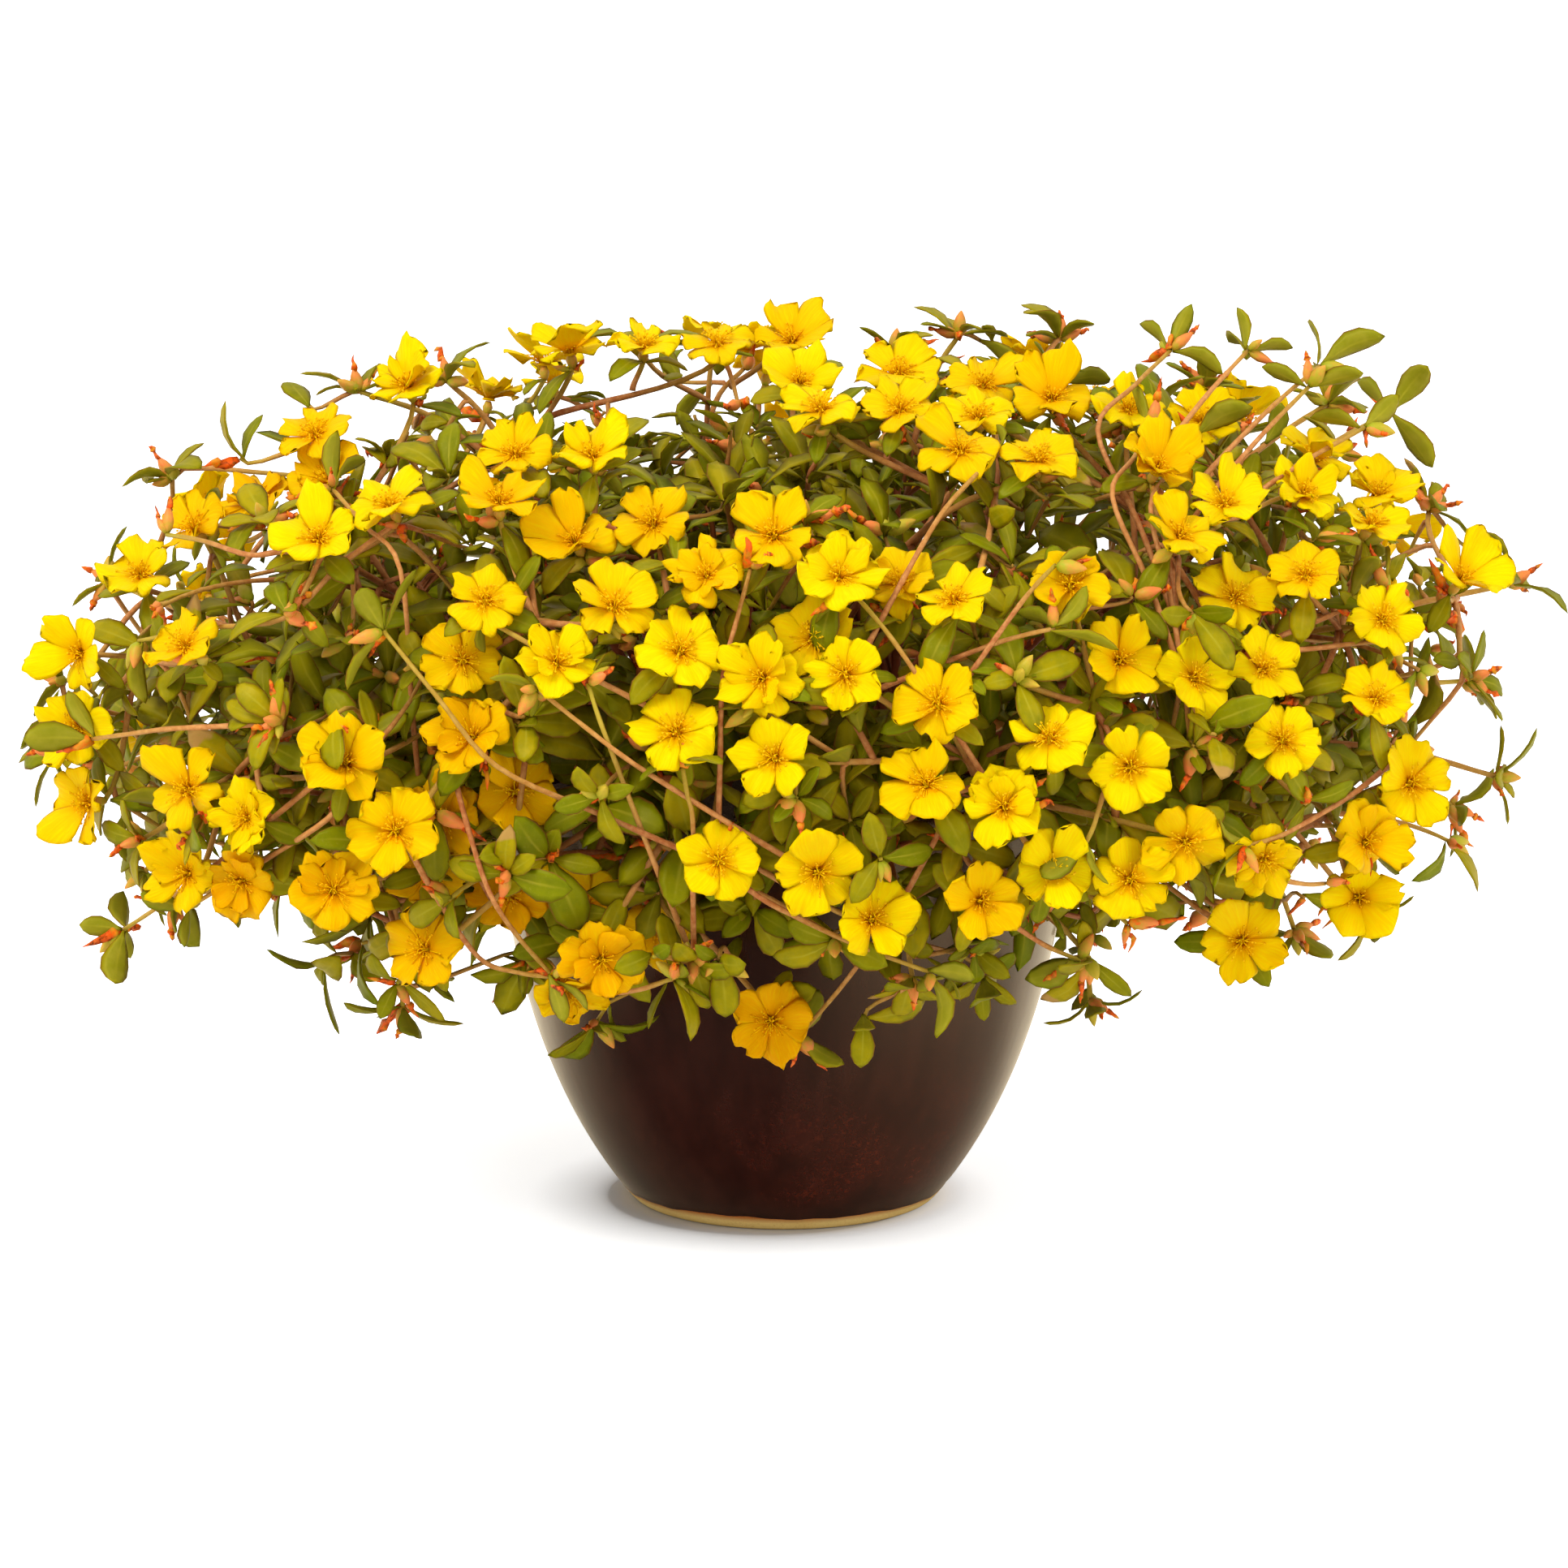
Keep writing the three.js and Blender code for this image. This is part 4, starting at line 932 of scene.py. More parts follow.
def leaf_material():
    """Red runs from base to tip, green across, blue is the leaf's own draw, alpha is 1 on top."""
    paint = Paint("leaf", 0.42, 0.24, (1, 0.9, 0.3, 1))
    own, along = paint.tint["Blue"], paint.tint["Red"]
    off_middle = paint.maths("ABSOLUTE", paint.maths("SUBTRACT", paint.tint["Green"], 0.5))
    patches = paint.grain(160.0, 3.0)
    speckle = paint.grain(900.0, 2.0)
    upper = paint.blend(own, "olive", "yellow_olive")
    upper = paint.dab(upper, "leaf_patch", patches, 0.42, 0.72, 0.5)
    lower = paint.blend(paint.span(patches, 0.35, 0.7), "underside", "pale_underside")
    skin = paint.blend(paint.tint["Alpha"], lower, upper)
    rib = paint.times(paint.span(off_middle, 0.07, 0.0), paint.span(along, 1.0, 0.35, 0.0, 0.75))
    skin = paint.blend(rib, skin, "rib")
    ragged = paint.maths("ADD", off_middle, paint.span(patches, 0.3, 0.7, -0.02, 0.02))
    skin = paint.dab(skin, "leaf_edge", ragged, 0.445, 0.488, 0.85)
    dry_from = paint.span(own, 0.95, 1.0, 1.02, 0.74)
    ragged = paint.maths("ADD", along, paint.span(patches, 0.3, 0.7, -0.06, 0.06))
    skin = paint.dab(skin, "dry_leaf", paint.maths("SUBTRACT", ragged, dry_from), 0.0, 0.05)
    skin = paint.dab(skin, "leaf_speckle", speckle, 0.58, 0.75, 0.35)
    paint.let_light_through(paint.blend(0.5, skin, "leaf_through"), 0.31)
    return paint.cover(skin, (speckle, 0.25, 0.0003), (patches, 0.34, 0.5))


def stem_material():
    """Red is how green, green is how deep in the mound and so how dark its painted shade, blue is
    the stem's own draw.
    """
    paint = Paint("stem", 0.42, 0.3, (1, 0.8, 0.45, 1))
    streaks = paint.grain(420.0, 3.0)
    skin = paint.blend(paint.tint["Blue"], "bark", "dark_bark")
    skin = paint.dab(skin, "bark_streak", streaks, 0.4, 0.7, 0.5)
    skin = paint.blend(paint.tint["Red"], skin, "young_stem")
    # painted shade: stems turn dark red-brown the deeper they lie in the mound
    skin = paint.dab(skin, "painted_shade_stem", paint.tint["Green"], 0.15, 0.8, 0.85)
    skin = paint.dab(skin, "freckle", paint.grain(1500.0, 2.0), 0.55, 0.72, 0.35)
    return paint.cover(skin, (streaks, 0.3, 0.0004), (streaks, 0.36, 0.52))


def bud_material():
    """Red runs from base to tip, green goes from green through pink to withered orange."""
    paint = Paint("bud", 0.45, 0.3, (1, 0.85, 0.5, 1))
    mottle = paint.grain(520.0, 3.0)
    kind = paint.maths("ADD", paint.tint["Green"], paint.span(mottle, 0.3, 0.7, -0.1, 0.1))
    skin = paint.blend(paint.tint["Red"], "bud_foot", "bud_tip")
    skin = paint.dab(skin, "bud_pink", kind, 0.15, 0.5)
    skin = paint.dab(skin, "withered", kind, 0.6, 0.85)
    brown = paint.dab(skin, "withered_brown", mottle, 0.45, 0.62)
    skin = paint.dab(skin, brown, kind, 0.62, 0.8)
    skin = paint.dab(skin, "withered_tip", kind, 0.95, 1.15, 0.7)
    return paint.cover(skin, (mottle, 0.4, 0.0004))


def glaze_material():
    """Near black, with a cloudy red-brown band round the lower half that fades to the left."""
    paint = Paint("glaze", 0.16, 0.64, (1, 0.86, 0.66, 1))
    clouds = paint.grain(26.0, 5.0, 0.62, (1, 1, 0.8))
    runs = paint.grain(120.0, 3.0, stretch=(1, 1, 0.12))
    specks = paint.grain(430.0, 6.0, 0.78)
    place = paint.axes(paint.coordinates())
    band = paint.times(paint.span(place["Z"], 0.006, 0.018), paint.span(place["Z"], 0.075, 0.03))
    band = paint.times(band, paint.span(place["X"], -0.07, 0.02, 0.06, 1))
    cloud = paint.times(paint.span(clouds, 0.42, 0.66), band, clamped=True)
    speck = paint.times(paint.span(specks, 0.52, 0.7), cloud, clamped=True)
    skin = paint.blend(paint.span(runs, 0.35, 0.7), "glaze", "glaze_run")
    skin = paint.blend(paint.times(cloud, 0.4), skin, "glaze_red")
    skin = paint.blend(speck, skin, "glaze_speck")
    return paint.cover(skin, (runs, 0.08, 0.0008), (clouds, 0.17, 0.27))


def clay_material():
    """Pale clay, flashed darker where the glaze begins."""
    paint = Paint("bare_clay", 0.8, 0.25)
    grains = paint.grain(1200.0, 3.0, 0.7)
    height = paint.axes(paint.coordinates())["Z"]
    skin = paint.blend(paint.grain(60.0, 4.0), "clay", "clay_cloud")
    skin = paint.dab(skin, "flashed_clay", height, 0.0032, 0.0058)
    skin = paint.dab(skin, "clay_grain", grains, 0.5, 0.75, 0.5)
    return paint.cover(skin, (grains, 0.5, 0.0003))


def soil_material():
    paint = Paint("soil", 0.95, 0.2)
    grains = paint.grain(700.0, 3.0, 0.7)
    skin = paint.blend(paint.grain(90.0, 5.0, 0.65), "soil", "soil_clod")
    return paint.cover(paint.dab(skin, "soil_grain", grains, 0.6, 0.7), (grains, 0.8, 0.001))


def floor_material():
    """White, glowing faintly to the camera, with a painted shadow round the pot's foot, where the
    glow fades and the colour turns grey. Reflections meet it as a painted reflection, black before
    the pot and glowing warm beside and behind it."""
    paint = Paint("pale_floor", 0.75, 0.2)
    point = paint.coordinates()
    place = paint.axes(point)
    rays = paint.node("ShaderNodeLightPath").outputs
    mirrored = rays["Is Glossy Ray"]
    aside = paint.maths("ABSOLUTE", paint.maths("ADD", place["X"], -SIDE_MIDDLE))
    behind = paint.span(place["Y"], *BACK_FADE)
    beside = paint.maths("MAXIMUM", paint.span(aside, *SIDE_FADE), behind)
    # painted shadow: the glow fades to none round the pot's foot
    lit = paint.maths("POWER", paint.span(paint.reach(point, PAINTED_SHADOW_MIDDLE), *PAINTED_SHADOW_FADE), 0.5)
    seen = paint.times(rays["Is Camera Ray"], paint.times(lit, FLOOR_GLOW))
    # painted reflection: to reflections alone, the floor glows warm beside and behind the pot
    painted_side_reflection_glow = paint.times(paint.times(mirrored, beside), PAINTED_SIDE_REFLECTION)
    white = paint.blend(paint.grain(3.0, 2.0), *FLOOR_WHITES)
    # painted shadow: the floor turns grey close under the pot's foot
    outside_painted_contact_shadow = paint.span(paint.reach(point, (0, 0, 0)), *PAINTED_CONTACT_SHADOW_FADE)
    white = paint.blend(outside_painted_contact_shadow, PAINTED_CONTACT_SHADOW, white)
    # painted reflection: reflections find the floor black before the pot and warm beside it
    paint.put(paint.shader.inputs["Base Color"],
              paint.blend(mirrored, white, paint.blend(beside, PAINTED_DARK_REFLECTION, STUDIO_WARMTH)))
    paint.put(paint.shader.inputs["Emission Color"], paint.blend(mirrored, WHITE, STUDIO_WARMTH))
    paint.put(paint.shader.inputs["Emission Strength"], paint.maths("ADD", seen, painted_side_reflection_glow))
    return paint.material


# --- Pot and soil ---

def bowl_point(t):
    """A radius and height on the bowl's outer curve, from the glaze's lower edge to the lip."""
    start = np.array((GLAZE_RADIUS, GLAZE_HEIGHT))
    end = np.array((RIM_RADIUS, POT_HEIGHT - LIP))
    spread = start + BOWL_SPREAD
    steady = end - BOWL_STEADY
    return ((1 - t) ** 3 * start + 3 * (1 - t) ** 2 * t * spread
            + 3 * (1 - t) * t ** 2 * steady + t ** 3 * end)


def wall_radius(height):
    curve = np.array([bowl_point(share) for share in np.linspace(0, 1, 200)])
    return float(np.interp(height, curve[:, 1], curve[:, 0]))


def add_lathe(shape, profile, sides, slots):
    """A closed turned body; profile holds (radii, heights) for each ring, each a value or a ring of
    values, and starts and ends on the axis. `slots` gives the material of each run."""
    turns = ring_turns(sides)
    rings = []
    for radii, heights in profile[1:-1]:
        radii = np.broadcast_to(radii, sides)
        heights = np.broadcast_to(heights, sides)
        rings.append(np.stack([radii * np.cos(turns), radii * np.sin(turns), heights], axis=1))
    poles = [np.array([[0, 0, profile[i][1]]]) for i in (0, -1)]
    points = np.vstack([poles[0], *rings, poles[1]])
    shape.add(points, tube_faces(len(rings), sides), PLAIN_TINT)
    runs = np.repeat(slots[1:-2], sides).tolist() + [slots[0]] * sides + [slots[-1]] * sides
    shape.slots[len(shape.slots) - len(runs):] = runs


def make_pot(glaze, clay):
    turns = ring_turns(POT_SIDES)
    wander = sum(size * np.sin(count * turns + start) for size, count, start in GLAZE_WAVES)
    profile = [*FOOT_PROFILE, (64.75 + wander * 0.3, GLAZE_HEIGHT - 0.3 + wander)]
    slots = [1] * len(profile)
    profile += [(radius + wander * 0.3, height + wander) for radius, height in GLAZE_PROFILE]
    profile += [tuple(bowl_point(share)) for share in np.linspace(0.03, 1, 48)]
    profile += LIP_PROFILE
    levels = np.linspace(POT_HEIGHT - LIP - 1, FLOOR + 4, 12)
    profile += [(wall_radius(height) - WALL, height) for height in levels]
    profile += [(wall_radius(FLOOR) - WALL - 3, FLOOR + 0.6), (40, FLOOR), (0, FLOOR)]
    slots += [0] * (len(profile) - len(slots))
    shape = Shape()
    add_lathe(shape, profile, POT_SIDES, np.array(slots))
    shape.make("glazed_pot", [glaze, clay], "pot_glaze", ["pot"])


def make_soil(material):
    levels = (FLOOR + SOIL_GAP, 50, 100, SOIL_LEVEL - 1.5)
    walls = [(wall_radius(height) - WALL - SOIL_GAP, height) for height in levels]
    profile = [(0, FLOOR + SOIL_GAP), *walls]
    turns = ring_turns(SOIL_SIDES)
    outer = walls[-1][0]
    for k in range(1, SOIL_RINGS):
        reach = outer * (1 - k / SOIL_RINGS)
        rough = np.array([draw(300 + k, side) for side in range(SOIL_SIDES)]) - 0.5
        swell = sum(size * np.sin(turns * count + reach * wind) for size, count, wind in SOIL_WAVES)
        profile.append((reach, SOIL_LEVEL + swell + rough * 1.5 - 0.2))
    profile.append((0, SOIL_LEVEL))
    shape = Shape()
    add_lathe(shape, profile, SOIL_SIDES, np.zeros(len(profile), int))
    for k in range(CRUMBS):
        reach = outer * 0.95 * math.sqrt(draw(400, k, 1))
        turn = draw(400, k, 2) * TURN
        size = mix(1.0, 3.0, draw(400, k, 3) ** 2)
        at = np.array((reach * math.cos(turn), reach * math.sin(turn), SOIL_LEVEL + 0.2))
        heading = np.array((math.cos(7.0 * k), math.sin(7.0 * k), 0.3))
        path = at + heading * size * np.linspace(-0.8, 0.8, 4)[:, None]
        add_tube(shape, path, size * np.array(CRUMB_RADII), PLAIN_TINT, 6)
    shape.make("rough_soil", [material], "soil", ["soil"])


# --- Blooms ---

def gold_shade_and_tone_share(bloom, inset):
    """Painted shade: low blooms and those set back into the mound turn gold, as if shaded, high
    ones stay lemon; a random draw adds each bloom's own tone.
    """
    low = clamp((230 - bloom.centre.z) / 170)
    return clamp(0.07 + 0.5 * low + inset / 130 + (draw(*bloom.keys, 50) - 0.5) * 0.6)


def add_petal(shape, bloom, turn, reach, cup, half_width, gold_shade_and_tone, keys):
    """One petal: broad, unevenly rounded and ruffled at its end, its base under the stamens."""
    u = np.array(PETAL_ROWS)[:, None]
    v = np.array(PETAL_COLUMNS)[None, :]
    odd = [draw(*keys, 20 + k) for k in range(14)]
    from_notch = (v - mix(*NOTCH_PLACE, odd[1])) / NOTCH_WIDTH
    notch = mix(*PETAL_NOTCH, odd[0]) * u ** 4 * np.exp(-from_notch ** 2)
    left, right = np.clip(-v, 0, 1) ** 2.2, np.clip(v, 0, 1) ** 2.2
    corner = u ** 3 * (mix(*PETAL_CORNER, odd[2]) * left + mix(*PETAL_CORNER, odd[3]) * right)
    slant = mix(*PETAL_SLANT, odd[4]) * u ** 3 * v
    frill = 0.022 * u ** 4 * np.sin(mix(*PETAL_FRILLS, odd[5]) * v + odd[6] * TURN)
    along = reach * (0.04 + 0.96 * (u - notch - corner + slant + frill))
    across = v * np.array(PETAL_WIDTHS)[:, None] * half_width
    across = across * (1 + 0.05 * np.sin(9 * u + odd[7] * TURN))
    across = across + mix(*PETAL_SHIFT, odd[8]) * u ** 2
    rise = cup * along + 0.05 * reach * np.sin(math.pi * u)
    rise = rise + mix(*PETAL_CURL, odd[9]) * half_width * v ** 2 * u
    rise = rise - reach * mix(*PETAL_DROOP, odd[10]) * u ** 3 * (1 - 0.4 * np.abs(v))
    rise = rise + mix(*PETAL_TWIST, odd[11]) * across + TOP_HEIGHT
    rise = rise + 2.5 * u ** 1.6 * np.sin(mix(*PETAL_WAVES, odd[12]) * v + odd[13] * TURN)
    rise = rise + 1.0 * u ** 2 * np.sin(8 * v + odd[0] * TURN) * np.abs(v)
    out = bloom.aside(turn)
    ways = ((out, along), (bloom.axis.cross(out), across), (bloom.axis, rise))
    tints = blade_tints(u, v, gold_shade_and_tone, odd[1])
    add_blade(shape, bloom.centre, ways, PETAL_THICKNESS, tints, tints)


def add_stamens(shape, bloom, gold_shade_and_tone):
    """A brush of stamens on a deep yellow disc, with the branched style in its middle; the anthers
    carry the painted shade.
    """
    top = array(bloom.centre) + array(bloom.axis) * TOP_HEIGHT
    axis = array(bloom.axis)
    for k in range(STAMENS):
        turn = k * SPIRAL + draw(*bloom.keys, 60, k)
        lean = math.sqrt((k + 0.5) / STAMENS) * mix(0.85, 1.15, draw(*bloom.keys, 61, k))
        length = bloom.size * mix(*STAMEN_LENGTH, draw(*bloom.keys, 62, k))
        out = array(bloom.aside(turn))
        start = top + out * (0.4 + 1.9 * lean)
        knee = start + (axis * 0.55 + out * lean * 0.25) * length
        end = start + (axis * mix(1.0, 0.6, lean) + out * lean * 0.8) * length
        tints = np.array([(share, 0, gold_shade_and_tone, 1) for share in (0, 0.5, 1)])
        add_tube(shape, np.array((start, knee, end)), FILAMENT_RADII, tints, 3, 1)
        heading = (end - knee) / np.linalg.norm(end - knee)
        add_form(shape, end, heading, ANTHER_FORM, (1, 1, gold_shade_and_tone, 1), 3, 1)
    add_form(shape, top, axis, DISC_FORM, (0.3, 0, gold_shade_and_tone, 1), 8, 1)
    add_form(shape, top, axis, STYLE_FORM, (1, 0, 0, 1), 3, 1)
    for k in range(5):
        out = array(bloom.aside(k / 5 * TURN + draw(*bloom.keys, 63)))
        height = STYLE_FORM[-1][0]
        branch = np.array([out * reach + axis * (height + up) for reach, up in BRANCH_PATH])
        add_tube(shape, top + branch, BRANCH_RADII, (1, 0, 0, 1), 3, 1)


def add_bloom(shape, bloom, neighbours, lap, inset):
    """One bloom; the petals that meet a neighbour's pass over or under them by `lap`."""
    gold_shade_and_tone = gold_shade_and_tone_share(bloom, inset)
    petals = petals_of(bloom, [meeting(bloom, other) for other in neighbours])
    closed = mix(0.2, 0.6, draw(*bloom.keys, 54)) if draw(*bloom.keys, 53) < HALF_OPEN_SHARE else 0
    for k, (turn, seam) in enumerate(petals):
        keys = (*bloom.keys, 70 + k)
        reach = PETAL_LENGTH * bloom.size * mix(*PETAL_REACH, draw(*keys, 7))
        folded = draw(*keys, 10) < FOLDED_SHARE
        cup = bloom.cup + mix(-0.14, 0.12, draw(*keys, 8)) + (0.55 if folded else closed)
        if seam:
            reach = seam[1] + 0.8
            cup = seam[2] / seam[1] + lap
        half_width = PETAL_LENGTH * bloom.size * mix(*PETAL_HALF_WIDTH, draw(*keys, 9))
        add_petal(shape, bloom, turn, reach, cup, half_width, gold_shade_and_tone, keys)
    if draw(*bloom.keys, 51) < DOUBLE_SHARE:
        for k, (turn, _) in enumerate(petals[:3 + int(draw(*bloom.keys, 52) * 3)]):
            keys = (*bloom.keys, 80 + k)
            reach = PETAL_LENGTH * bloom.size * mix(*INNER_PETAL_REACH, draw(*keys, 7))
            cup = bloom.cup + mix(0.25, 0.5, draw(*keys, 8))
            between = turn + TURN / PETALS / 2
            # painted shade: inner petals turn a little more to gold
            add_petal(shape, bloom, between, reach, cup, reach * 0.42, clamp(gold_shade_and_tone + 0.1), keys)
    add_stamens(shape, bloom, gold_shade_and_tone)


def make_posy(posy, blooms, inset, petal, stamen):
    shape = Shape()
    for i, bloom in enumerate(blooms):
        neighbours = [blooms[k] for k in (i - 1, i + 1) if 0 <= k < len(blooms)]
        lap = LAP if neighbours and neighbours[0] is blooms[i - 1] else -LAP
        add_bloom(shape, bloom, neighbours, lap, inset)
    slot = "petals_golden" if blooms[0].centre.z < GOLD_SHADE_SLOT_BELOW else "petals_lemon"
    shape.make(f"blooms_{posy + 1:02d}", [petal, stamen], slot, [posy_name(posy)])


def find_back_blooms(blooms):
    """More blooms over the back, at even places that keep clear of the frame's own."""
    found = []
    for i, place in enumerate(even_places(BACK_PLACES, 4, 0.5)):
        is_low = place.z < BACK_LOWEST or at_pot(place, 20)
        crowded = any((bloom.centre - place).length < BACK_APART for bloom in [*blooms, *found])
        if place.y < BACK_FROM or is_low or crowded or bareness(place) > 0.1:
            continue
        keys = (600 + i, 0)
        wander = Vector([draw(*keys, key) - 0.5 for key in (1, 2, 3)]) * WANDER
        found.append(new_bloom(place, outwards(place) + Z * UPWARD + wander, keys, 1.06))
    return found


def bloom_discs(blooms):
    """Points and faces of a flat disc in each bloom's place, for stems and leaves to avoid."""
    points, faces = [], []
    for bloom in blooms:
        start = len(points)
        points += [bloom.around(k / PETALS * TURN, PETAL_LENGTH, 2) for k in range(PETALS)]
        faces.append(list(range(start, start + PETALS)))
    return points, faces


# --- Where the stems run ---

def solid_tree(names, points=(), faces=()):
    """A tree for finding hits on the frame's nodes, and on further points and faces."""
    points, faces = list(points), list(faces)
    for name in names:
        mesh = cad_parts[name].data
        start = len(points)
        points += [vertex.co / MM for vertex in mesh.vertices]
        faces += [[start + k for k in face.vertices] for face in mesh.polygons]
    return BVHTree.FromPolygons(points, faces)


def crown_foot(plant):
    return polar(plant_turn(plant), CROWN_REACH, SOIL_LEVEL)


def limb_spine(plant, goal, lift):
    """A long stem's five points: up from the crown, over the rim and out to its goal."""
    begin = SOIL_LEVEL + CROWN_KNOB
    reach = math.hypot(goal.x, goal.y)
    swing = short_way(math.atan2(goal.y, goal.x) - plant_turn(plant))
    over = max(0, POT_HEIGHT + 20 - goal.z)
    knots = [
        (CROWN_REACH, begin),
        (mix(CROWN_REACH, reach, 0.35), max(begin + 15, (begin + goal.z) / 2) + lift),
        (mix(CROWN_REACH, reach, 0.85), goal.z + over * 0.6 + lift),
        (reach, goal.z),
    ]
    spine = []
    for share in (0, 0.25, 0.5, 0.75, 1):
        rest = 1 - share
        weights = (rest ** 3, 3 * rest ** 2 * share, 3 * rest * share ** 2, share ** 3)
        radius = sum(weight * knot[0] for weight, knot in zip(weights, knots))
        height = sum(weight * knot[1] for weight, knot in zip(weights, knots))
        spine.append(polar(plant_turn(plant) + swing * share, radius, height))
    return spine


def even_places(count, inset, shift=0.0):
    """Even places all over the mound, along a spiral from its top to its bottom."""
    places = []
    for i in range(count):
        height = 1 - (2 * i + 1) / count
        turn = i * math.pi * (3 - math.sqrt(5)) + shift
        reach = math.sqrt(1 - height * height)
        tall = MOUND_RISE if height > 0 else MOUND_DROP
        places.append(to_mound(Vector((
            reach * math.cos(turn) * MOUND_HALF_WIDTH, reach * math.sin(turn) * MOUND_HALF_DEPTH,
            MOUND_MIDDLE + height * tall)), inset))
    return places


def at_pot(place, spare):
    return math.hypot(place.x, place.y) < RIM_RADIUS + spare and place.z < POT_HEIGHT + 20


def has_room(place, is_best, tips):
    elsewhere = ELSEWHERE if place.y > FRONT_DEPTH else IN_FRONT
    spacing = NEAR_BEST if is_best else elsewhere
    crowded = any((tip.centre - place).length < spacing for tip in tips)
    return place.z > LOWEST_SHOOT and not at_pot(place, 12) and not crowded


def stem_tips(blooms):
    """The places where stems end: under each bloom, and at each leafy shoot's tip."""
    tips = list(blooms)
    best = [mound_along_view(x, z, SHOOT_INSET) for x, z in FRONT_SHOOTS]
    for i, place in enumerate(best + even_places(SHOOT_TRIES, SHOOT_INSET)):
        if not has_room(place, i < len(best), tips):
            continue
        kept = keep_in_share(place, plant_of(place))
        droop = Vector((0, 0, -0.5 if place.z < 130 else 0.25))
        axis = (outwards(kept) + droop).normalized()
        tips.append(Tip(kept, axis, plant_of(place), (100 + i, 0)))
    return tips


def hub_of(tip):
    """The middle of the ring of leaves at a stem's end."""
    depth = BASE_DEPTH + HUB_GAP + LEAF_DEPTH if tip.is_bloom else LEAF_DEPTH
    return tip.centre - tip.axis * depth


def off_skin(skin, spine):
    """How far a spine strays from a solid's skin, at most."""
    samples = [start.lerp(end, share) for start, end in zip(spine, spine[1:])
               for share in (0.2, 0.4, 0.6, 0.8)]
    return max(skin.find_nearest(sample)[3] for sample in samples)


def find_spines(plant, tips, skin):
    """The spine of each of a plant's stems, as the frame's solid shows it."""
    foot = crown_foot(plant)
    mine = [tip for tip in tips if tip.plant == plant]
    mine.sort(key=lambda tip: -(tip.centre - foot).length)
    joins, found = [], []
    for tip in mine:
        end = hub_of(tip) - tip.axis * LEAF_BOTTOM
        near = [join for join in joins if (join - end).length < JOIN_REACH
                and (join - foot).length < (end - foot).length - 4]
        near.sort(key=lambda join: (join - end).length)
        tries = [[join, end] for join in near[:12]]
        tries += [limb_spine(plant, end, lift) for lift in LIFTS]
        spine = min(tries, key=lambda spine: off_skin(skin, spine))
        if off_skin(skin, spine) > STEM_THICK:
            continue
        middles = [start.lerp(end, 0.5) for start, end in zip(spine, spine[1:])]
        joins += middles[1:] if len(spine) > 2 else middles
        found.append((tip, spine))
    return found


# --- Leaves and buds ---

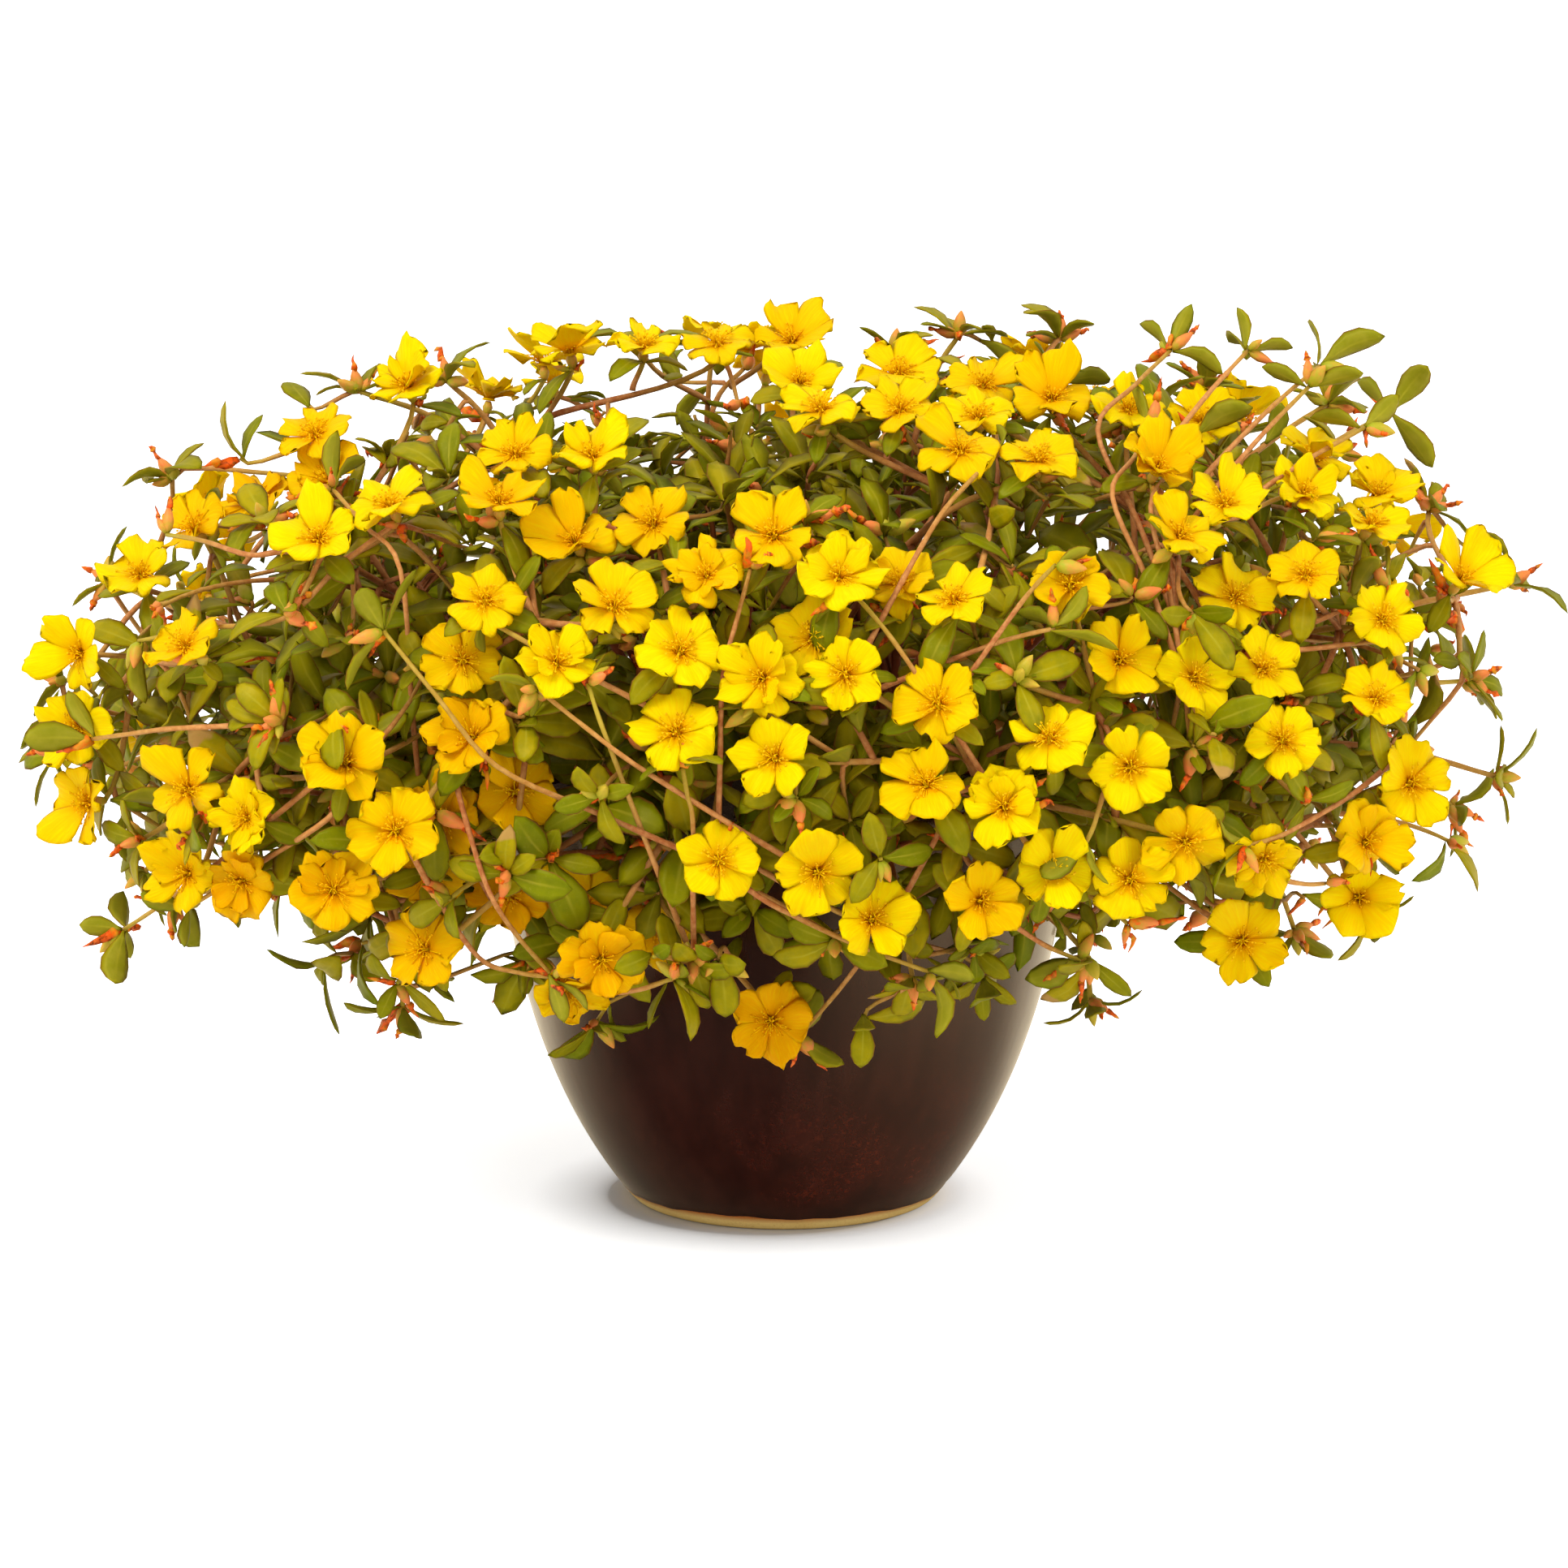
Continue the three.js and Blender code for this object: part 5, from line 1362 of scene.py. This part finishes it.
class Plant:
    """One plant's stems, leaves and buds, with the ways to add more of them where there is room."""

    def __init__(self, number, barrier, low, high):
        self.number = number
        self.barrier = barrier
        self.low, self.high = low, high
        self.stems, self.leaves, self.buds = Shape(), Shape(), Shape()
        self.nodes = []          # places on stems that more can grow from, with their directions
        self.grown = 0

    def odd(self, key=0):
        """A draw of this plant's own, new for each leaf."""
        return draw(200 + self.number, self.grown, key)

    def is_free(self, points):
        """Whether a line of points passes no petal and no pot, and stays in the frame's box."""
        for start, end in zip(points, points[1:]):
            way = end - start
            if way.length > 0 and self.barrier.ray_cast(start, way.normalized(), way.length)[0]:
                return False
            if not all(self.low[i] < end[i] < self.high[i] for i in range(3)):
                return False
        return True

    def add_leaf(self, base, out, up, length, shares=(1, 0.8, 0.6)):
        """A leaf from base along out, its upper side to up, if there is room for it."""
        self.grown += 1
        out = out.normalized()
        if len(shares) > 1 and self.odd(13) < bareness(base + out * length):
            return False
        if self.odd(14) < ROUTE_BARE and hides_long_stem(base + out * length * 0.6):
            return False
        up = (up - out * up.dot(out)).normalized()
        side = up.cross(out)
        for share in shares:
            size = length * share
            half = size * mix(*LEAF_HALF_WIDTH, self.odd(1))
            tip = base + out * size
            widest = base + out * size * 0.6
            lines = [[base, widest + side * half, tip], [base, widest - side * half, tip],
                     [base, tip]]
            if all(self.is_free(line) for line in lines):
                self.draw_leaf(base, out, side, up, size, half)
                return True
        return False

    def draw_leaf(self, base, out, side, up, size, half):
        is_inner = mound_depth(base) > INNER_DEPTH
        u = np.array(INNER_LEAF_ROWS if is_inner else LEAF_ROWS)[:, None]
        v = np.array(LEAF_COLUMNS[::2] if is_inner else LEAF_COLUMNS)[None, :]
        width = np.interp(u, LEAF_ROWS, LEAF_WIDTHS) * half
        arch = mix(*LEAF_ARCH, self.odd(2)) * size
        fold = mix(*LEAF_FOLD, self.odd(3))
        sway = mix(*LEAF_SWAY, self.odd(4)) * size
        twist = mix(*LEAF_TWIST, self.odd(5))
        rise = arch * np.sin(math.pi * u) * 1.2 - arch * u ** 3 + fold * width * np.abs(v) ** 1.3
        rise = rise + twist * v * width * u + 0.25 * np.sin(9 * u + self.odd(6) * TURN) * v ** 2
        across = v * width + sway * np.sin(math.pi * u)
        ways = ((out, size * u), (side, across), (up, rise))
        upper_tints, lower_tints = [blade_tints(u, v, self.odd(7), alpha) for alpha in (1, 0)]
        thickness = mix(*LEAF_THICKNESS, self.odd(8))
        add_blade(self.leaves, base, ways, thickness, upper_tints, lower_tints)

    def add_bud(self, base, out, length, half_width, kind):
        """A pointed capsule, from kind 0, green, to 1, withered. Old ones keep a tuft."""
        self.grown += 1
        out = out.normalized()
        if not self.is_free([base, base + out * length]):
            return
        shares, swell = np.array(BUD_FORM).T
        turns = ring_turns(BUD_SIDES)
        radii = swell[:, None] * half_width * (1 + 0.13 * np.cos(2 * turns))[None, :]
        bend = Vector((self.odd(1) - 0.5, self.odd(2) - 0.5, -0.2)) * length * 0.16
        path = np.array([(base + out * length * share + bend * share ** 2)[:] for share in shares])
        age = min(kind, 0.6)
        tints = np.array([(share, age * (0.4 + 0.6 * share), self.odd(3), 1) for share in shares])
        add_tube(self.buds, path, radii, tints, BUD_SIDES, spin=self.odd(4) * TURN)
        if kind > 0.5:
            tuft = length * mix(0.35, 0.75, self.odd(5))
            self.add_tuft(Vector(path[-2]), out, tuft, half_width * 0.75)

    def add_tuft(self, base, out, length, half_width):
        """The shrivelled, twisted petals at an old capsule's tip."""
        rings = len(TUFT_FORM)
        shares = np.linspace(0, 1, rings)
        turns = ring_turns(BUD_SIDES)
        rough = np.array([draw(500 + self.number, self.grown, i) for i in range(rings)])
        twist = mix(2, 5, self.odd(5)) * shares + rough
        pleats = 1 + 0.42 * np.cos(2 * turns[None, :] + twist[:, None])
        radii = half_width * np.array(TUFT_FORM) * mix(0.7, 1.2, rough)
        side = Vector((self.odd(6) - 0.5, self.odd(7) - 0.5, self.odd(8) - 0.6)) * length
        sway = np.sin(shares * mix(3, 7, self.odd(9)))
        path = np.array([(base + out * length * share + side * (share ** 2 + 0.3 * bend))[:]
                         for share, bend in zip(shares, sway)])
        tints = np.stack([shares, mix(0.76, 1.15, rough), shares, np.ones(rings)], axis=1)
        add_tube(self.buds, path, radii[:, None] * pleats, tints, BUD_SIDES)

    def add_stem(self, path, start_radius, end_radius, green_from, leaves=None, sides=STEM_SIDES):
        """A stem, its leaves, and its nodes for what grows from it later."""
        self.grown += 1
        lengths = np.linalg.norm(np.diff(path, axis=0), axis=1)
        run = np.concatenate([[0], np.cumsum(lengths)])
        shares = run / run[-1]
        swell = 1 + 0.06 * np.sin(run * 0.42 + self.odd(1) * TURN)
        radii = mix(start_radius, end_radius, shares) * swell
        green = np.clip((shares - green_from) / max(0.05, 1 - green_from), 0, 1)
        green = green * mix(0.3, 1, self.odd(2))
        # painted shade: how deep each point lies in the mound, which darkens the stem there
        deep = np.array([mound_depth(point) for point in path])
        tints = np.stack([green, deep, np.full(len(path), self.odd(3)), np.ones(len(path))], axis=1)
        add_tube(self.stems, path, radii, tints, sides)
        directions = unit_rows(np.gradient(path, axis=0))
        self.nodes += [(Vector(at), Vector(way)) for at, way in zip(path[1:], directions[1:])]
        if leaves:
            self.add_stem_leaves(path, run, directions, radii, *leaves)

    def try_stem(self, path, *form):
        """Adds a stem if nothing is in its way, and says whether it did."""
        is_free = self.is_free([Vector(point) for point in path])
        if is_free:
            self.add_stem(path, *form)
        return is_free

    def add_stem_leaves(self, path, run, directions, radii, spot, share):
        """Leaves one by one along a stem, each turned from the last."""
        turn = self.odd(5) * TURN
        while spot < run[-1] - 4:
            self.grown += 1
            i = int(np.searchsorted(run, spot))
            at, along = Vector(path[i]), Vector(directions[i])
            turn += SPIRAL
            spot += STEM_GAP * mix(0.7, 1.3, self.odd(6))
            if self.odd(7) > share or at_pot(at, 4) and at.z < POT_HEIGHT + 6:
                continue
            aside = Tip(at, along, self.number, (0,)).aside(turn)
            out = along * 0.6 + aside * 0.9 + Z * 0.15
            up = along * 0.35 + Z * 0.6 + level_way(at) * 0.5 - aside * 0.4
            length = LEAF_LENGTH * mix(0.65, 1.25, self.odd(8)) * (1.3 if self.odd(9) < 0.15 else 1)
            self.add_leaf(at + aside * float(radii[i]) * 0.5, out, up, length)

    def add_whorl(self, tip, hub, count, rises, lengths):
        """Leaves in a ring round a stem's end, each taking a draw of its own."""
        first_turn = self.odd() * TURN
        for k in range(count):
            self.grown += 1
            turn = first_turn + (k + mix(-0.25, 0.25, self.odd(1))) / count * TURN
            out = tip.aside(turn) + tip.axis * mix(*rises, self.odd(2))
            base = hub + tip.aside(turn) * 0.8 + tip.axis * mix(-2.2, 0.4, self.odd(3))
            self.add_leaf(base, out, tip.axis + Z * 0.3, LEAF_LENGTH * mix(*lengths, self.odd(4)))


def frame_leaves(tip, skin):
    """The turn, length and rise of each leaf that the frame's solid has at a stem's end."""
    if tip.is_bloom and draw(*tip.keys, 8) < BARE_SHARE:
        return []
    count = 3 if tip.is_bloom else 4
    spin = draw(*tip.keys, 7) * TURN / count
    hub = hub_of(tip)
    leaves = []
    for k in range(count):
        full = LEAF_LENGTH * mix(0.85, 1.25, draw(*tip.keys, 30 + k))
        span = (-0.25, 0.2) if tip.is_bloom else (0, 0.7)
        rise = mix(*span, draw(*tip.keys, 40 + k))
        turn = spin + k * TURN / count
        out = tip.aside(turn) + tip.axis * rise
        for share in SHORTER:
            if skin.find_nearest(hub + out * full * share)[3] < 0.25:
                leaves.append((out, full * share))
                break
    return leaves


def grow_plant(number, tips, back_blooms, barrier):
    """One plant: the frame's own stems, whorls and buds first, then the finer growth."""
    low, high = [corner / MM for corner in cad_box]
    spare = Vector((BOX_SPARE, BOX_SPARE, BOX_SPARE))
    plant = Plant(number, barrier, low - spare, high + spare)
    skin = solid_tree([f"plant_{number + 1}"])
    for tip, spine in find_spines(number, tips, skin):
        end = spine[-1] + tip.axis * LEAF_BOTTOM
        if len(spine) > 2:
            plant.add_stem(smooth_path([*spine[:-1], end], CURVE_STEPS), *LIMB_STEM)
        else:
            start, way = spine[0], end - spine[0]
            path = arc_path(start, way * 0.8 + level_way(start) * way.length * 0.25, end,
                            way * 0.6 + tip.axis * way.length * 0.4, ARC_STEPS)
            plant.add_stem(path, *SIDE_STEM)
        own = frame_leaves(tip, skin)
        hub = hub_of(tip)
        for out, length in own:
            plant.grown += 1
            plant.add_leaf(hub + out.normalized() * 0.6, out, tip.axis, length, (1,))
        if tip.is_bloom:
            plant.add_whorl(tip, hub, max(0, 3 - len(own)), *BLOOM_WHORL)
            grow_calyx(plant, tip, hub)
        else:
            plant.add_whorl(tip, hub, 2, *SHOOT_WHORL)
            plant.add_bud(hub, tip.axis, BUD_LENGTH, BUD_HALF_WIDTH, plant.odd(9))
            grow_bud_cluster(plant, tip, hub, 2 + int(plant.odd(10) * 3))
    grow_crown(plant)
    grow_uprights(plant)
    grow_twigs(plant, back_blooms)
    return plant


def grow_calyx(plant, tip, hub):
    """The green cup under a bloom, and often buds or spent capsules beside it."""
    tints = np.array([(share, 0.25, 0.5, 1) for share in (0, 0.25, 0.6, 1)])
    add_form(plant.buds, hub, tip.axis, CALYX_FORM, tints, BUD_SIDES)
    if plant.odd(11) < CALYX_BUD_SHARE:
        grow_bud_cluster(plant, tip, hub - tip.axis * 1.5, 1 + int(plant.odd(12) * 3.4))


def grow_bud_cluster(plant, tip, hub, count):
    for _ in range(count):
        plant.grown += 1
        turn = plant.odd(1) * TURN
        out = tip.aside(turn) + tip.axis * mix(-0.1, 1.0, plant.odd(2))
        length = mix(*BUD_LENGTHS, plant.odd(3))
        base = hub + tip.aside(turn) * 0.8
        if plant.odd(6) < SPENT_SHARE and plant.is_free([base, base + out.normalized() * length]):
            half_width = length * mix(*SPENT_HALF_WIDTHS, plant.odd(7))
            plant.add_tuft(base, out.normalized(), length, half_width)
        else:
            half_width = length * mix(*BUD_HALF_WIDTHS, plant.odd(5))
            plant.add_bud(base, out, length, half_width, plant.odd(4))


def grow_crown(plant):
    """The knob at a plant's foot that its limbs rise from."""
    ribs = 1 + 0.1 * np.sin(ring_turns(CROWN_SIDES) * 5)
    foot = crown_foot(plant.number)
    # painted shade: the crown takes the dark of a point deep in the mound
    add_form(plant.stems, foot, Z, CROWN_FORM, (0, 0.9, 0.4, 1), CROWN_SIDES, ribs=ribs)


def grow_uprights(plant):
    """Stems that rise from the crown and fill the middle of the mound."""
    foot = crown_foot(plant.number) + Z * CROWN_KNOB
    for k in range(UPRIGHTS):
        plant.grown += 1
        turn = plant_turn(plant.number) + mix(-0.45, 0.45, (k + 0.5) / UPRIGHTS) * SHARE
        outward = polar(turn, 1, 0)
        top = outward * mix(*UPRIGHT_REACH, plant.odd(1)) + Z * mix(*UPRIGHT_TOP, plant.odd(2))
        reach = (top - foot).length
        path = arc_path(foot, (Z + outward * 0.2) * reach,
                        top, (Z * 0.9 + outward * 0.4) * reach, 14)
        if plant.try_stem(path, *UPRIGHT_STEM):
            tip = Tip(top, (Z + outward * 0.5).normalized(), plant.number, (0,))
            plant.add_whorl(tip, top, 5, *UPRIGHT_WHORL)


def grow_twigs(plant, back_blooms):
    """Stems to the back's blooms, long runners, then leafy twigs, from the stems outwards."""
    nodes = list(plant.nodes)
    tree = KDTree(len(nodes))
    for i, (at, _) in enumerate(nodes):
        tree.insert(at, i)
    tree.balance()
    for bloom in back_blooms:
        if bloom.plant == plant.number:
            grow_bloom_stem(plant, bloom, nodes, tree)
    for route in LONG_STEMS:
        if plant_of(mound_along_view(*route[2:], 0)) == plant.number:
            plant.grown += 1
            grow_long_stem(plant, route, tree)
    for place in even_places(RUNNERS, 2, 0.9):
        plant.grown += 1
        is_level = RUNNER_HEIGHTS[0] < place.z < RUNNER_HEIGHTS[1]
        if plant_of(place) == plant.number and is_level and plant.odd(4) > bareness(place):
            grow_runner(plant, place, tree)
    for layer, (inset, count) in enumerate(TWIG_LAYERS):
        for place in even_places(count * 2, inset, layer * 1.7):
            plant.grown += 1
            is_thin = plant.odd(4) < max(0.5 if abs(place.x) > AIRY_FROM else 0, bareness(place))
            is_low = place.z < LOWEST_TWIG or at_pot(place, 10)
            if plant_of(place) != plant.number or is_low or is_thin:
                continue
            wander = Vector([plant.odd(k) - 0.5 for k in (1, 2, 3)]) * 16
            grow_twig(plant, place + wander, nodes, tree, 1 + inset / 250)


def grow_bloom_stem(plant, bloom, nodes, tree):
    """A stem to one of the back's blooms, with the leaves and buds under it."""
    hub = hub_of(bloom)
    for start, index, _ in tree.find_n(hub - bloom.axis * 30, STEM_TRIES):
        reach = (hub - start).length
        along = nodes[index][1]
        path = arc_path(start, along * reach * 0.6, hub, bloom.axis * reach * 0.8, ARC_STEPS)
        if reach > 15 and plant.try_stem(path, *BLOOM_STEM):
            break
    plant.add_whorl(bloom, hub, 3, *BLOOM_WHORL)
    grow_calyx(plant, bloom, hub)


def grow_runner(plant, place, tree):
    """A long bare stem that arches just under the mound's surface, with a few leaves at its end."""
    outward = level_way(place)
    inner = place - outward * mix(*RUNNER_REACH, plant.odd(1)) - Z * 12
    least, most = RUNNER_REACH
    for start, _, _ in tree.find_n(inner, 10):
        reach = (place - start).length
        path = arc_path(start, (outward * 0.8 + Z * 0.5) * reach, place,
                        (outward * 0.8 - Z * 0.35) * reach, 12)
        if least * 0.7 < reach < most * 1.2 and plant.try_stem(path, *RUNNER_STEM):
            end_runner(plant, path)
            return


def end_runner(plant, path):
    """The leaves and buds at a long bare stem's end."""
    place = Vector(path[-1])
    tip = Tip(place, (place - Vector(path[-2])).normalized(), plant.number, (0,))
    plant.add_whorl(tip, place, 3 + int(plant.odd(9) * 2), *RUNNER_WHORL)
    grow_bud_cluster(plant, tip, place, 1 + int(plant.odd(11) * 4))


def grow_long_stem(plant, route, tree):
    """One of the long stems that pass over the leaves on the best side."""
    across, up, to_across, to_up = route
    for lift in (ARCH, ARCH - 5, ARCH + 5, ARCH - 10, ARCH - 16):
        begin = mound_along_view(across, up, 8 - lift)
        end = mound_along_view(to_across, to_up, 3 - lift * 0.5)
        if end.y > begin.y + MOST_BACK:
            end = seen_at(to_across, to_up, begin.y + MOST_BACK)
        middle = begin.lerp(end, 0.5)
        middle += outwards(middle) * 2
        outward = outwards(begin)
        heading = ((end - begin).normalized() + outward * 0.35).normalized()
        near = [node[0] for node in tree.find_n(begin - heading * 40 - outward * 8, 40)]
        start = max(near, key=lambda place: (begin - place).normalized().dot(heading))
        if (begin - start).normalized().dot(heading) < MOST_BEND:
            continue
        before = start.lerp(begin, 0.5) + outward * 2
        path = smooth_path([start, before, begin, middle, end], CURVE_STEPS)
        if plant.try_stem(path, *LONG_STEM, mix(0.2, 0.8, plant.odd(7))):
            end_runner(plant, path)
            return


def grow_twig(plant, place, nodes, tree, size):
    """A short leafy stem from a node of an older one."""
    axis = (outwards(place) + Z * 0.4).normalized()
    for start, index, distance in tree.find_n(place, STEM_TRIES):
        along = nodes[index][1]
        path = arc_path(start, along * distance * 0.7, place, axis * distance * 0.8, 6)
        if TWIG_REACH[0] < distance < TWIG_REACH[1] and plant.try_stem(path, *TWIG_STEM):
            tip = Tip(place, axis, plant.number, (0,))
            rises, lengths = TWIG_WHORL
            lengths = [length * size for length in lengths]
            plant.add_whorl(tip, place, 3 + int(plant.odd(9) * 2.9), rises, lengths)
            if plant.odd(10) < TWIG_BUD_SHARE:
                grow_bud_cluster(plant, tip, place, 1 + int(plant.odd(11) * 3))
            return


# --- Stage ---

def aim_at(thing, place, aim):
    thing.location = place
    thing.rotation_euler = (Vector(aim) - Vector(place)).to_track_quat("-Z", "Y").to_euler()


def make_floor():
    half = FLOOR_HALF_WIDTH
    mesh = bpy.data.meshes.new("floor")
    corners = [(-half, -half, 0), (half, -half, 0), (half, half, 0), (-half, half, 0)]
    mesh.from_pydata(corners, [], [(0, 1, 2, 3)])
    mesh.materials.append(floor_material())
    floor = add_object("floor", mesh)


def make_light(name, place, power):
    light = bpy.data.lights.new(name, "AREA")
    light.shape = "DISK"
    light.size = LIGHT_SIZE
    light.energy = power
    aim_at(add_object(name, light), place, LIGHT_AIM)


def make_world():
    """White all round, but reflections find its front dim, as in a studio lit from its sides."""
    world = bpy.data.worlds.new("studio")
    bpy.context.scene.world = world
    world.use_nodes = True
    studio = Nodes(world.node_tree)
    heading = studio.axes(studio.coordinates("Generated"))
    skewed = studio.maths("MULTIPLY_ADD", heading["X"], FRONT_SKEW, heading["Y"])
    mirrored = studio.node("ShaderNodeLightPath").outputs["Is Glossy Ray"]
    dimming = studio.span(skewed, *FRONT_FADE, FRONT_DIM - 1, 0)
    background = studio.tree.nodes["Background"].inputs
    studio.put(background["Strength"], studio.maths("MULTIPLY_ADD", mirrored, dimming, 1))
    studio.put(background["Color"], studio.blend(mirrored, WHITE, STUDIO_WARMTH))


def make_camera():
    camera = add_object("camera", bpy.data.cameras.new("camera"))
    camera.data.sensor_width = CAMERA_SENSOR
    camera.data.lens = CAMERA_LENS
    aim_at(camera, BEST_VIEW * MM, CAMERA_AIM)
    bpy.context.scene.camera = camera


# --- The whole ---

make_camera()
make_floor()
make_world()
for light in LIGHTS:
    make_light(*light)
bpy.context.scene.view_settings.view_transform = "Standard"

make_pot(glaze_material(), clay_material())
make_soil(soil_material())

posies = [find_blooms(posy) for posy in range(len(FRONT_POSIES) + len(BACK_POSIES))]
petal, stamen = petal_material(), stamen_material()
for posy, (blooms, inset) in enumerate(posies):
    make_posy(posy, blooms, inset, petal, stamen)

all_blooms = [bloom for blooms, _ in posies for bloom in blooms]
tips = stem_tips(all_blooms)
back_blooms = find_back_blooms(all_blooms)
solids = ["pot", *[posy_name(posy) for posy in range(len(posies))]]
barrier = solid_tree(solids, *bloom_discs(back_blooms))
leaf, stem, bud = leaf_material(), stem_material(), bud_material()
for number in range(PLANT_COUNT):
    plant = grow_plant(number, tips, back_blooms, barrier)
    node = f"plant_{number + 1}"
    mine = [bloom for bloom in back_blooms if bloom.plant == number]
    if mine:
        shape = Shape()
        for bloom in mine:
            add_bloom(shape, bloom, [], 0, 4)
        shape.make(f"back_blooms_{number + 1}", [petal, stamen], "petals_lemon", [node])
    for name, shape, material in (("stems", plant.stems, stem), ("leaves", plant.leaves, leaf),
                                  ("buds", plant.buds, bud)):
        shape.make(f"{name}_{number + 1}", [material], "plant_green", [node])
